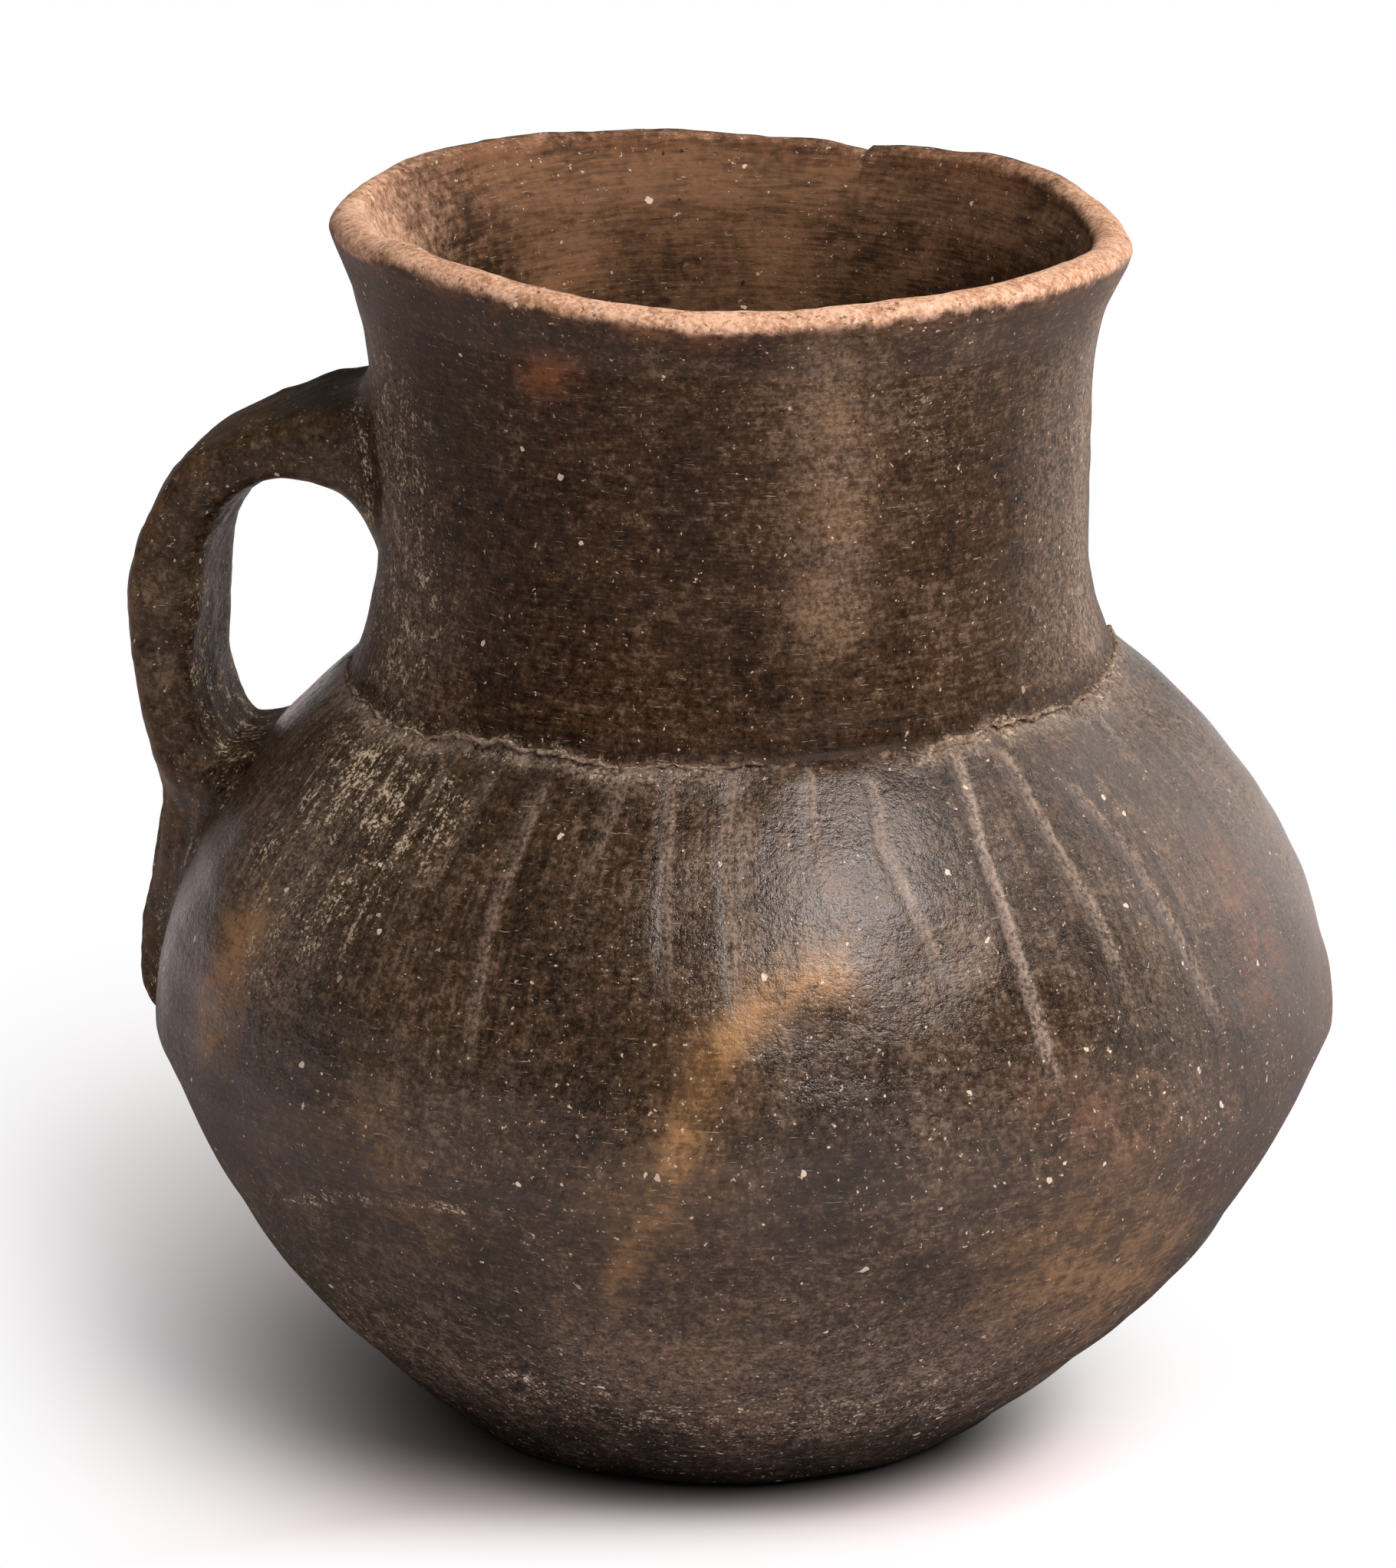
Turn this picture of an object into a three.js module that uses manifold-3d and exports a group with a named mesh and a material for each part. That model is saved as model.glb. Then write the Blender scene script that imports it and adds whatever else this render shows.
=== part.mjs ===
// A hand-built ceramic jug: a wide body that tapers to a small foot, a tall collar with a
// turned-out lip, and one strap handle from the collar down to the belly.
//
// Millimetres, +Z up. The origin is the centre of the foot, on the surface the jug stands on.
// The handle is on the -X side, turned a little towards +Y. Azimuths are degrees from +X to +Y.

import * as THREE from 'three';
import { mergeVertices } from 'three/addons/utils/BufferGeometryUtils.js';
import Module from 'manifold-3d';

const wasm = await Module();
wasm.setup();

// Foot and body. Each rise is counted from the height before it.
const FOOT_RADIUS = 36.6;
const FOOT_BEVEL = 1.0;
const FOOT_BEVEL_SPREAD = 1.6;
const PAD_SPREAD = 7.6;
const FLOOR_THICKNESS = 6.5;
const BELLY_RADIUS = 79.5;
const BELLY_HEIGHT = 56.0;
const SEAM_RADIUS = 52.0;
const SHOULDER_RISE = 49.2;

// Collar and lip
const WAIST_RADIUS = 47.5;
const WAIST_RISE = 29.8;
const COLLAR_TOP_RADIUS = 49.6;
const FLARE_RISE = 22.0;
const LIP_RADIUS = 52.7;
const LIP_RISE = 9.4;
const LIP_ROUNDING = 1.8;

// Wall thickness, measured level
const PAD_WALL = 7.0;
const BELLY_WALL = 5.6;
const SEAM_WALL = 6.6;
const COLLAR_WALL = 5.0;
const LIP_WALL = 4.6;

// What the hand left out of true
const BELLY_DRIFT = 1.3;
const SEAM_TILT = 2.0;
const SEAM_TILT_AZIMUTH = 318;
const LIP_TILT = 1.6;
const LIP_TILT_AZIMUTH = 202;
const LIP_WAVE = 0.6;
const LIP_WAVE_COUNT = 4;
const LIP_WAVE_AZIMUTH = 32;

// The coil pressed into the corner between the shoulder and the collar
const COIL_REACH = 2.0;
const COIL_PROUD = 0.6;

// Strap handle. Rises and drops are counted from the seam.
const HANDLE_AZIMUTH = 168;
const STRAP_WIDTH = 23.0;
const STRAP_THICKNESS = 10.2;
const STRAP_OVERHANG = 2.5;
const STRAP_REACH_RISE = 4.3;
const HANDLE_TOP_RISE = 35.5;
const ROOT_THICKNESS = 13.0;
const ROOT_WIDTH = 27.0;
const ROOT_FILLET = 2.2;
const LOOP_BOTTOM_DROP = 12.4;
const FORK_WIDTH = 25.0;
const TAIL_WAIST_DROP = 20.6;
const TAIL_WAIST_PROUD = 7.6;
const TAIL_THICKNESS = 2.9;
const TAIL_END_DROP = 7.5;
const TAIL_END_WIDTH = 12.0;

// Pieces that meet on a curved face are kept this far apart. Ends that are to be cut by the
// wall start this deep inside it.
const CLEARANCE = 0.3;
const WALL_BITE = 5.0;

// How finely the curves are cut into flats
const ROUND_STEPS = 64;
const WALL_STEPS = 8;
const COLLAR_STEPS = 4;
const LIP_STEPS = 3;
const ROUNDING_STEPS = 6;
const SECTION_STEPS = 16;
const SPAN_STEPS = 2;

const finish = (color, roughness) => new THREE.MeshStandardMaterial({ color, roughness, metalness: 0 });
const darkClay = finish('#4a3a2d', 0.62);
const umberClay = finish('#56432f', 0.6);
const collarClay = finish('#443428', 0.58);
const wornLip = finish('#b98f6f', 0.8);
const handleClay = finish('#57432f', 0.66);
const paleCoil = finish('#7d6c5b', 0.85);

const point = (r, z) => new THREE.Vector2(r, z);
const blend = THREE.MathUtils.lerp;
const between = (a, b, t, u = t) => point(blend(a.x, b.x, t), blend(a.y, b.y, u));

// The wall line, from the foot to the lip. Each stretch is one Bezier curve between two of
// the heights where a ring of clay was added, so neighbours share their ends.

const SEAM_HEIGHT = BELLY_HEIGHT + SHOULDER_RISE;
const COLLAR_TOP_HEIGHT = SEAM_HEIGHT + WAIST_RISE + FLARE_RISE;
const LIP_HEIGHT = COLLAR_TOP_HEIGHT + LIP_RISE;

const padOuter = point(FOOT_RADIUS + PAD_SPREAD, FLOOR_THICKNESS);
const bellyOuter = point(BELLY_RADIUS, BELLY_HEIGHT);
const seamOuter = point(SEAM_RADIUS, SEAM_HEIGHT);
const waistOuter = point(WAIST_RADIUS, SEAM_HEIGHT + WAIST_RISE);
const collarOuter = point(COLLAR_TOP_RADIUS, COLLAR_TOP_HEIGHT);
const lipOuter = point(LIP_RADIUS, LIP_HEIGHT - LIP_ROUNDING);

const thinned = (outer, wall) => point(outer.x - wall, outer.y);
const padInner = thinned(padOuter, PAD_WALL);
const bellyInner = thinned(bellyOuter, BELLY_WALL);
const seamInner = thinned(seamOuter, SEAM_WALL);
const waistInner = thinned(waistOuter, COLLAR_WALL);
const collarInner = thinned(collarOuter, COLLAR_WALL);
const lipInner = thinned(lipOuter, LIP_WALL);

// The pull of each curve on its two ends, as shares of the stretch's width and height
const LOWER_PULL = [[0.65, 0.41], [0.83, 0.68]];
const SHOULDER_PULL = [[0.0, 0.28], [0.31, 0.68]];
const FOOT_OF_COLLAR_PULL = [[0.85, 0.25], [1.0, 0.45]];
const TOP_OF_COLLAR_PULL = [[0.0, 0.6], [0.4, 0.7]];
const LIP_PULL = [[0.25, 0.35], [0.8, 0.75]];

function stretch(from, to, pull, steps) {
  const [a, b] = pull.map(([t, u]) => between(from, to, t, u));
  return new THREE.CubicBezierCurve(from, a, b, to).getPoints(steps);
}

const lowerOuter = stretch(padOuter, bellyOuter, LOWER_PULL, WALL_STEPS);
const lowerInner = stretch(padInner, bellyInner, LOWER_PULL, WALL_STEPS);
const shoulderOuter = stretch(bellyOuter, seamOuter, SHOULDER_PULL, WALL_STEPS);
const shoulderInner = stretch(bellyInner, seamInner, SHOULDER_PULL, WALL_STEPS);
const collarLine = (foot, waist, top) => [
  ...stretch(foot, waist, FOOT_OF_COLLAR_PULL, COLLAR_STEPS),
  ...stretch(waist, top, TOP_OF_COLLAR_PULL, COLLAR_STEPS).slice(1),
];
const collarOuterLine = collarLine(seamOuter, waistOuter, collarOuter);
const collarInnerLine = collarLine(seamInner, waistInner, collarInner);
const lipOuterLine = stretch(collarOuter, lipOuter, LIP_PULL, LIP_STEPS);
const lipInnerLine = stretch(collarInner, lipInner, LIP_PULL, LIP_STEPS);

// The outside of the whole jug, from the foot to the top of the lip, and its radius by height
const footOuter = point(FOOT_RADIUS, 0);
const footBevel = point(FOOT_RADIUS + FOOT_BEVEL_SPREAD, FOOT_BEVEL);
const outside = [
  footOuter, footBevel, ...lowerOuter, ...shoulderOuter.slice(1),
  ...collarOuterLine.slice(1), ...lipOuterLine.slice(1),
];

function radiusAt(height) {
  const k = outside.findIndex((p) => p.y >= height);
  const [low, high] = [outside[k - 1], outside[k]];
  return blend(low.x, high.x, (height - low.y) / (high.y - low.y));
}

// Hand shaping: the belly drifts to one side, the seam and the lip lean, and the lip waves.
// Each lean is a flat plane, so rings still meet face to face.

const direction = (azimuth) => {
  const a = THREE.MathUtils.degToRad(azimuth);
  return new THREE.Vector2(Math.cos(a), Math.sin(a));
};
const seamLean = direction(SEAM_TILT_AZIMUTH).multiplyScalar(SEAM_TILT / SEAM_RADIUS);
const lipLean = direction(LIP_TILT_AZIMUTH).multiplyScalar(LIP_TILT / LIP_RADIUS);

function handShaped(geometry) {
  const place = geometry.getAttribute('position');
  const { clamp, smoothstep, degToRad } = THREE.MathUtils;
  for (let i = 0; i < place.count; i += 1) {
    const [x, y, z] = [place.getX(i), place.getY(i), place.getZ(i)];
    const drift = BELLY_DRIFT * Math.sin(Math.PI * clamp(z / SEAM_HEIGHT, 0, 1));
    const rising = clamp((z - BELLY_HEIGHT) / (SEAM_HEIGHT - BELLY_HEIGHT), 0, 1);
    const upper = clamp((z - SEAM_HEIGHT) / (COLLAR_TOP_HEIGHT - SEAM_HEIGHT), 0, 1);
    const seamPart = rising * (1 - upper) * (seamLean.x * x + seamLean.y * y);
    const lipPart = upper * (lipLean.x * x + lipLean.y * y);
    const turn = LIP_WAVE_COUNT * (Math.atan2(y, x) - degToRad(LIP_WAVE_AZIMUTH));
    const wave = LIP_WAVE * smoothstep(z, COLLAR_TOP_HEIGHT, LIP_HEIGHT) * Math.cos(turn);
    place.setXYZ(i, x + drift, y, z + seamPart + lipPart + wave);
  }
  return geometry;
}

// A profile of (radius, height) points turned about +Z. It starts and ends on the axis, or
// closes on itself.
function turned(profile) {
  const lathe = new THREE.LatheGeometry(profile, ROUND_STEPS);
  return handShaped(lathe.rotateX(Math.PI / 2));
}

// A ring of wall between an outer and an inner line that run up between the same two heights
const wallRing = (outer, inner) => turned([...outer, ...[...inner].reverse(), outer[0]]);

function basePad() {
  return turned([point(0, 0), footOuter, footBevel, padOuter, padInner, point(0, FLOOR_THICKNESS)]);
}

function lip() {
  const rounding = new THREE.EllipseCurve(
    LIP_RADIUS - LIP_WALL / 2, LIP_HEIGHT - LIP_ROUNDING, LIP_WALL / 2, LIP_ROUNDING, 0, Math.PI,
  );
  const top = rounding.getPoints(ROUNDING_STEPS).slice(1, -1);
  return turned([...lipOuterLine, ...top, ...[...lipInnerLine].reverse(), lipOuterLine[0]]);
}

// A thin ring that follows the corner of the seam outside, below and above it
function seamCoil() {
  const corner = outside.findIndex((p) => p.equals(seamOuter));
  const reachTo = (end) => {
    const t = COIL_REACH / seamOuter.distanceTo(end);
    return between(seamOuter, end, t);
  };
  const low = reachTo(outside[corner - 1]);
  const high = reachTo(outside[corner + 1]);
  const out = (p, depth) => point(p.x + depth, p.y);
  const edge = CLEARANCE + COIL_PROUD / 4;
  const crown = CLEARANCE * Math.SQRT2 + COIL_PROUD;
  return turned([
    out(low, CLEARANCE * Math.SQRT2), out(low, edge + CLEARANCE),
    out(between(low, seamOuter, 0.5), crown), out(between(seamOuter, high, 0.5), crown),
    out(high, edge), out(high, CLEARANCE), out(seamOuter, CLEARANCE * Math.SQRT2),
    out(low, CLEARANCE * Math.SQRT2),
  ]);
}

// The jug's outside as one solid block, larger by the clearance all over, to cut the handle's
// ends by
function seatCutter() {
  const grown = outside.map((p, k) => {
    const [a, b] = [outside[Math.max(k - 1, 0)], outside[Math.min(k + 1, outside.length - 1)]];
    const slope = (b.x - a.x) / (b.y - a.y);
    return point(p.x + CLEARANCE * Math.hypot(1, slope), p.y);
  });
  const top = grown.at(-1);
  return turned([point(0, 0), ...grown, point(0, top.y)]);
}

// The handle lies in one upright plane. Each station of it has an outer and an inner point in
// that plane, as (distance from the axis, height), and a width across it.

const station = (outer, inner, width) => ({ outer, inner, width });
const onWall = (height, proud) => point(radiusAt(height) + proud, height);

const TOP_HEIGHT = SEAM_HEIGHT + HANDLE_TOP_RISE;
const REACH_HEIGHT = SEAM_HEIGHT + STRAP_REACH_RISE;
const LOOP_TOP_HEIGHT = TOP_HEIGHT - ROOT_THICKNESS;
const LOOP_BOTTOM_HEIGHT = SEAM_HEIGHT - LOOP_BOTTOM_DROP;
const TAIL_WAIST_HEIGHT = SEAM_HEIGHT - TAIL_WAIST_DROP;
const TAIL_END_HEIGHT = BELLY_HEIGHT - TAIL_END_DROP;

const reachOuter = point(BELLY_RADIUS + STRAP_OVERHANG, REACH_HEIGHT);
const reachInner = point(reachOuter.x - STRAP_THICKNESS, REACH_HEIGHT);
const tailWaist = onWall(TAIL_WAIST_HEIGHT, TAIL_WAIST_PROUD);
const loopBottom = onWall(LOOP_BOTTOM_HEIGHT, -CLEARANCE);

// A quarter turn from above or below the centre, at turn 0, out to the reach, at turn 1. It is
// an ellipse at fullness 1, and squarer below that.
const quarter = (centre, height, reach, turn, fullness = 1) => {
  const a = (turn * Math.PI) / 2;
  const [across, along] = [Math.sin(a) ** fullness, Math.cos(a) ** fullness];
  return point(blend(centre, reach.x, across), blend(reach.y, height, along));
};

// The arch leaves the collar level and turns down; the loop's ceiling starts about halfway out
const ARCH_FULLNESS = 0.89;
const ARCH_START = 0.23;
const CEILING_START = 0.48;
const ceilingCentre = blend(WAIST_RADIUS, reachInner.x, CEILING_START);
const archOuter = (turn) => quarter(WAIST_RADIUS, TOP_HEIGHT, reachOuter, turn, ARCH_FULLNESS);
const archStation = (share) => station(
  archOuter(blend(ARCH_START, 1, share)),
  quarter(ceilingCentre, LOOP_TOP_HEIGHT, reachInner, share),
  STRAP_WIDTH,
);

// The root flares into the collar: its inner line runs round a small fillet
const underRoot = (fillets, proud) => onWall(LOOP_TOP_HEIGHT - fillets * ROOT_FILLET, proud);
const narrowing = blend(ROOT_WIDTH, STRAP_WIDTH, 0.4);
const ROOT_STATIONS = [
  station(onWall(TOP_HEIGHT, -WALL_BITE), underRoot(2, -WALL_BITE), ROOT_WIDTH),
  station(archOuter(0.1 * ARCH_START), underRoot(1, ROOT_FILLET / 2), ROOT_WIDTH),
  station(archOuter(0.5 * ARCH_START), underRoot(0, 2.5 * ROOT_FILLET), narrowing),
  archStation(0),
];

// The leg comes down to the shoulder: outside towards the tail's waist, inside round the loop
const LEG_EASING = 1.4;
const legStation = (share) => station(
  between(reachOuter, tailWaist, share ** LEG_EASING, share),
  quarter(loopBottom.x, LOOP_BOTTOM_HEIGHT, reachInner, 1 - share),
  blend(STRAP_WIDTH, FORK_WIDTH, share ** 2),
);
const STRAP_STATIONS = [
  ...[0, 0.2, 0.4, 0.6, 0.8, 1].map(archStation),
  ...[0.25, 0.5].map(legStation),
];

// The tail is smeared down the shoulder, and thins out past the belly
const TAIL_EASING = 5;
const smeared = (height, proud, width) => station(onWall(height, proud), onWall(height, -WALL_BITE), width);
const smearStation = (share) => smeared(
  blend(TAIL_END_HEIGHT, TAIL_WAIST_HEIGHT, share),
  blend(TAIL_THICKNESS, TAIL_WAIST_PROUD, share ** TAIL_EASING),
  blend(TAIL_END_WIDTH, FORK_WIDTH, share),
);
const TAIL_STATIONS = [
  ...[0.5, 0.75, 1].map(legStation),
  ...[0.88, 0.72, 0.54, 0.36, 0.18, 0.06].map(smearStation),
  smeared(TAIL_END_HEIGHT, TAIL_THICKNESS / 2, TAIL_END_WIDTH / 2),
];

const SECTION_SQUARENESS = 0.5;
const outward = direction(HANDLE_AZIMUTH);

// A smooth loft through the stations, its section a rounded rectangle, closed at both ends
function strapLoft(stations) {
  const outerLine = new THREE.SplineCurve(stations.map((s) => s.outer));
  const innerLine = new THREE.SplineCurve(stations.map((s) => s.inner));
  const widthLine = new THREE.SplineCurve(stations.map((s) => point(s.width, 0)));
  const rounded = (v) => Math.sign(v) * Math.abs(v) ** SECTION_SQUARENESS;
  const rings = (stations.length - 1) * SPAN_STEPS;
  const corners = [];
  const put = (line, across) => {
    corners.push(outward.x * line.x - outward.y * across, outward.y * line.x + outward.x * across, line.y);
  };
  for (let k = 0; k <= rings; k += 1) {
    const [o, i, w] = [outerLine, innerLine, widthLine].map((line) => line.getPoint(k / rings));
    for (let j = 0; j < SECTION_STEPS; j += 1) {
      const a = (2 * Math.PI * j) / SECTION_STEPS;
      put(between(i, o, (1 + rounded(Math.cos(a))) / 2), (w.x / 2) * rounded(Math.sin(a)));
    }
  }
  const faces = [];
  for (let k = 0; k < rings; k += 1) {
    for (let j = 0; j < SECTION_STEPS; j += 1) {
      const [a, b] = [k * SECTION_STEPS + j, k * SECTION_STEPS + ((j + 1) % SECTION_STEPS)];
      faces.push(a, b + SECTION_STEPS, b, a, a + SECTION_STEPS, b + SECTION_STEPS);
    }
  }
  const last = rings * SECTION_STEPS;
  for (let j = 1; j < SECTION_STEPS - 1; j += 1) {
    faces.push(0, j, j + 1, last, last + j + 1, last + j);
  }
  const loft = new THREE.BufferGeometry();
  loft.setAttribute('position', new THREE.Float32BufferAttribute(corners, 3));
  loft.setIndex(faces);
  return loft;
}

function toSolid(geometry) {
  const bare = geometry.clone();
  bare.deleteAttribute('normal');
  bare.deleteAttribute('uv');
  const merged = mergeVertices(bare, 1e-4);
  const mesh = new wasm.Mesh({
    numProp: 3,
    vertProperties: new Float32Array(merged.getAttribute('position').array),
    triVerts: new Uint32Array(merged.index.array),
  });
  return new wasm.Manifold(mesh);
}

function toGeometry(solid) {
  const { vertProperties, triVerts } = solid.getMesh();
  const geometry = new THREE.BufferGeometry();
  geometry.setAttribute('position', new THREE.BufferAttribute(vertProperties, 3));
  geometry.setIndex(new THREE.BufferAttribute(triVerts, 1));
  return geometry;
}

const seated = (geometry) => toGeometry(toSolid(geometry).subtract(toSolid(seatCutter())));

const jug = new THREE.Group();

function add(name, geometry, material) {
  geometry.computeVertexNormals();
  const mesh = new THREE.Mesh(geometry, material);
  mesh.name = name;
  jug.add(mesh);
}

add('base_pad', basePad(), darkClay);
add('lower_wall', wallRing(lowerOuter, lowerInner), umberClay);
add('shoulder_wall', wallRing(shoulderOuter, shoulderInner), darkClay);
add('collar', wallRing(collarOuterLine, collarInnerLine), collarClay);
add('lip', lip(), wornLip);
add('seam_coil', seamCoil(), paleCoil);
add('handle_root', seated(strapLoft(ROOT_STATIONS)), handleClay);
add('handle_strap', strapLoft(STRAP_STATIONS), handleClay);
add('handle_tail', seated(strapLoft(TAIL_STATIONS)), handleClay);

export default jug;
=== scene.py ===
# %% [markdown]
# # A hand-built clay jug
#
# The real jug is dark, smoke-fired earthenware: a disc of clay for the foot, rings of wall for
# the body, a coil pressed in where the shoulder meets the collar, a lip worn down to tan clay,
# and a strap handle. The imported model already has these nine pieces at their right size. This
# lesson gives each one a finer surface in the same place, so that light finds the dents, the
# wiped streaks and the chips that make it look handled.

# %% load the frame
import math

import bpy
import numpy as np
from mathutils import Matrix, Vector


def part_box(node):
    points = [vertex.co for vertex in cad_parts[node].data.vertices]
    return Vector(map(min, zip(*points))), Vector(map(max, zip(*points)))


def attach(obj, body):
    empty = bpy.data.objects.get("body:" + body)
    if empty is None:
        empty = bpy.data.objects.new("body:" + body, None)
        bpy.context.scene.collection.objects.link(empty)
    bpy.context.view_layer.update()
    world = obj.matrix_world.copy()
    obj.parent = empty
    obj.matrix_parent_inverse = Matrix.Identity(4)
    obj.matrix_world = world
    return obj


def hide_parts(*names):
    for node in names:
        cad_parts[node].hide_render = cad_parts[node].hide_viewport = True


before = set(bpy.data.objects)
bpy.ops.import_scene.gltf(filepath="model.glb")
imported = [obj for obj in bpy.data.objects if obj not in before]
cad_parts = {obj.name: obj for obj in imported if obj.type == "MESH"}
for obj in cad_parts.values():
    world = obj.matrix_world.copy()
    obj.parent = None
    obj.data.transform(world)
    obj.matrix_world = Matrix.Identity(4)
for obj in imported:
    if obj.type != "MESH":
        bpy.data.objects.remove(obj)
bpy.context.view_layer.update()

MM = 0.001


def placed(name, data):
    """A new object with this data, linked into the scene."""
    made = bpy.data.objects.new(name, data)
    bpy.context.scene.collection.objects.link(made)
    return made


print("nodes:", sorted(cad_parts))

# %% [markdown]
# ## The camera
#
# A jug in a studio is usually taken with a long lens from about a metre, a little above the rim.
# A long lens keeps the foot and the lip from spreading apart. The camera is placed first, so
# that each later step can be looked at from the same spot.

# %% camera
CAMERA_PLACE = (0.0, -0.990, 0.413655)
CAMERA_DOWN = 0.3184
CAMERA_TURN = 0.0044
CAMERA_LENS = 177.13
SENSOR = 36.0

camera_data = bpy.data.cameras.new("camera")
camera_data.lens = CAMERA_LENS
camera_data.sensor_width = SENSOR
camera = placed("camera", camera_data)
camera.location = CAMERA_PLACE
camera.rotation_euler = (math.pi / 2 - CAMERA_DOWN, 0.0, CAMERA_TURN)
bpy.context.scene.camera = camera
print("camera distance:", round(math.hypot(*CAMERA_PLACE), 3), "m")

# %% [markdown]
# ## The wall line
#
# A pot turned about its axis is one line, seen from the side. This one runs from the middle of
# the underside, up the outside, over the lip and down the inside to the middle of the floor. It
# could be drawn point by point, but a potter's curves are smooth between the heights where a
# ring of clay was added, so each stretch is a Bezier curve, or two for the collar. The heights
# where the rings meet come from the frame.

# %% heights and radii, in millimetres


def corners(node):
    """A node's lowest and highest corners, in millimetres."""
    low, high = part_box(node)
    return np.array(low) / MM, np.array(high) / MM


FLOOR_THICKNESS = corners("base_pad")[1][2]
BELLY_RADIUS = corners("lower_wall")[1][1]
BELLY_HEIGHT = corners("lower_wall")[1][2]
SEAM_HEIGHT = (corners("shoulder_wall")[1][2] + corners("collar")[0][2]) / 2
COLLAR_TOP_HEIGHT = (corners("collar")[1][2] + corners("lip")[0][2]) / 2
LIP_RADIUS = corners("lip")[1][0]
LIP_RISE = 9.4
LIP_HEIGHT = COLLAR_TOP_HEIGHT + LIP_RISE
LIP_ROUNDING = 1.8
FOOT_FLAT = 34.6
FOOT_EDGE = (39.2, 2.0)
PAD_RADIUS = corners("base_pad")[1][1]
SEAM_RADIUS = 52.0
WAIST_RADIUS = 47.5
WAIST_HEIGHT = SEAM_HEIGHT + 29.8
COLLAR_TOP_RADIUS = 49.6
PAD_WALL = 7.0
BELLY_WALL = 5.6
SEAM_WALL = 6.6
COLLAR_WALL = 5.0
LIP_WALL = 4.6
print("belly", round(BELLY_RADIUS, 1), "at", round(BELLY_HEIGHT, 1), "seam at", round(SEAM_HEIGHT, 1))

# %% one curved stretch
FINE_STEPS = 400


def bezier(start, end, pulls):
    """A cubic Bezier curve: s^3 start + 3 s^2 t first + 3 s t^2 second + t^3 end, with s = 1 - t.

    Each pull places one of the two middle points, as a share of the stretch's width and of
    its height."""
    start = np.array(start)
    end = np.array(end)
    first, second = [start + np.array(pull) * (end - start) for pull in pulls]
    t = np.linspace(0, 1, FINE_STEPS + 1)[:, None]
    s = 1 - t
    return s**3 * start + 3 * s**2 * t * first + 3 * s * t**2 * second + t**3 * end


def spaced(line, steps, crowding=1.0):
    """The same line with its points at even distances, or crowded towards its start above 1."""
    gaps = np.linalg.norm(np.diff(line, axis=0), axis=1)
    along = np.concatenate([[0], np.cumsum(gaps)])
    wanted = np.linspace(0, 1, steps + 1) ** crowding * along[-1]
    return np.column_stack([np.interp(wanted, along, line[:, k]) for k in range(2)])


# %% the pulls of each curve
STRAIGHT = [[1 / 3, 1 / 3], [2 / 3, 2 / 3]]
FOOT_PULL = [[0.5, 0.0], [0.75, 0.45]]
LOWER_PULL = [[0.65, 0.41], [0.83, 0.68]]
SHOULDER_PULL = [[0.0, 0.28], [0.31, 0.68]]
FOOT_OF_COLLAR_PULL = [[0.85, 0.25], [1.0, 0.45]]
TOP_OF_COLLAR_PULL = [[0.0, 0.6], [0.4, 0.7]]
LIP_PULL = [[0.25, 0.35], [0.8, 0.75]]


def wall_lines(pad, belly, seam, waist, collar, lip):
    """The four stretches of wall between six points of (radius, height), from the pad up."""
    foot_of_collar = bezier(seam, waist, FOOT_OF_COLLAR_PULL)
    top_of_collar = bezier(waist, collar, TOP_OF_COLLAR_PULL)
    return [
        bezier(pad, belly, LOWER_PULL),
        bezier(belly, seam, SHOULDER_PULL),
        np.vstack([foot_of_collar, top_of_collar[1:]]),
        bezier(collar, lip, LIP_PULL),
    ]


OUTER_POINTS = [
    (PAD_RADIUS, FLOOR_THICKNESS),
    (BELLY_RADIUS, BELLY_HEIGHT),
    (SEAM_RADIUS, SEAM_HEIGHT),
    (WAIST_RADIUS, WAIST_HEIGHT),
    (COLLAR_TOP_RADIUS, COLLAR_TOP_HEIGHT),
    (LIP_RADIUS, LIP_HEIGHT - LIP_ROUNDING),
]
WALLS = [PAD_WALL, BELLY_WALL, SEAM_WALL, COLLAR_WALL, COLLAR_WALL, LIP_WALL]
INNER_POINTS = [(radius - wall, height) for (radius, height), wall in zip(OUTER_POINTS, WALLS)]
outer_lines = wall_lines(*OUTER_POINTS)
inner_lines = wall_lines(*INNER_POINTS)
print("wall stretches:", len(outer_lines), "outside and", len(inner_lines), "inside")

# %% the whole line, stretch by stretch
ROWS = {"lower": 78, "shoulder": 78, "collar": 74, "lip": 16}
INNER_ROWS = {"lower": 18, "shoulder": 22, "collar": 30, "lip": 14}
UNDER_ROWS = 14
FOOT_ROWS = 8
CREST_ROWS = 14
FLOOR_ROWS = 12
COLLAR_CROWDING = 1.2
CENTRE_GAP = 0.5

crest_turn = np.linspace(0, math.pi, FINE_STEPS)
crest = np.column_stack([
    LIP_RADIUS - LIP_WALL / 2 + LIP_WALL / 2 * np.cos(crest_turn),
    LIP_HEIGHT - LIP_ROUNDING + LIP_ROUNDING * np.sin(crest_turn),
])
names = list(ROWS)
stretches = [
    ("under", spaced(bezier((CENTRE_GAP, 0.0), (FOOT_FLAT, 0.0), STRAIGHT), UNDER_ROWS)),
    ("foot", spaced(bezier((FOOT_FLAT, 0.0), FOOT_EDGE, FOOT_PULL), FOOT_ROWS)),
    ("pad", spaced(bezier(FOOT_EDGE, OUTER_POINTS[0], STRAIGHT), FOOT_ROWS)),
]
for name, line in zip(names, outer_lines):
    crowding = COLLAR_CROWDING if name == "collar" else 1.0
    stretches.append((name, spaced(line, ROWS[name], crowding)))
stretches.append(("crest", spaced(crest, CREST_ROWS)))
for name, line in zip(names[::-1], inner_lines[::-1]):
    stretches.append(("inner " + name, spaced(line[::-1], INNER_ROWS[name])))
floor_line = bezier(INNER_POINTS[0], (CENTRE_GAP, FLOOR_THICKNESS), STRAIGHT)
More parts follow.
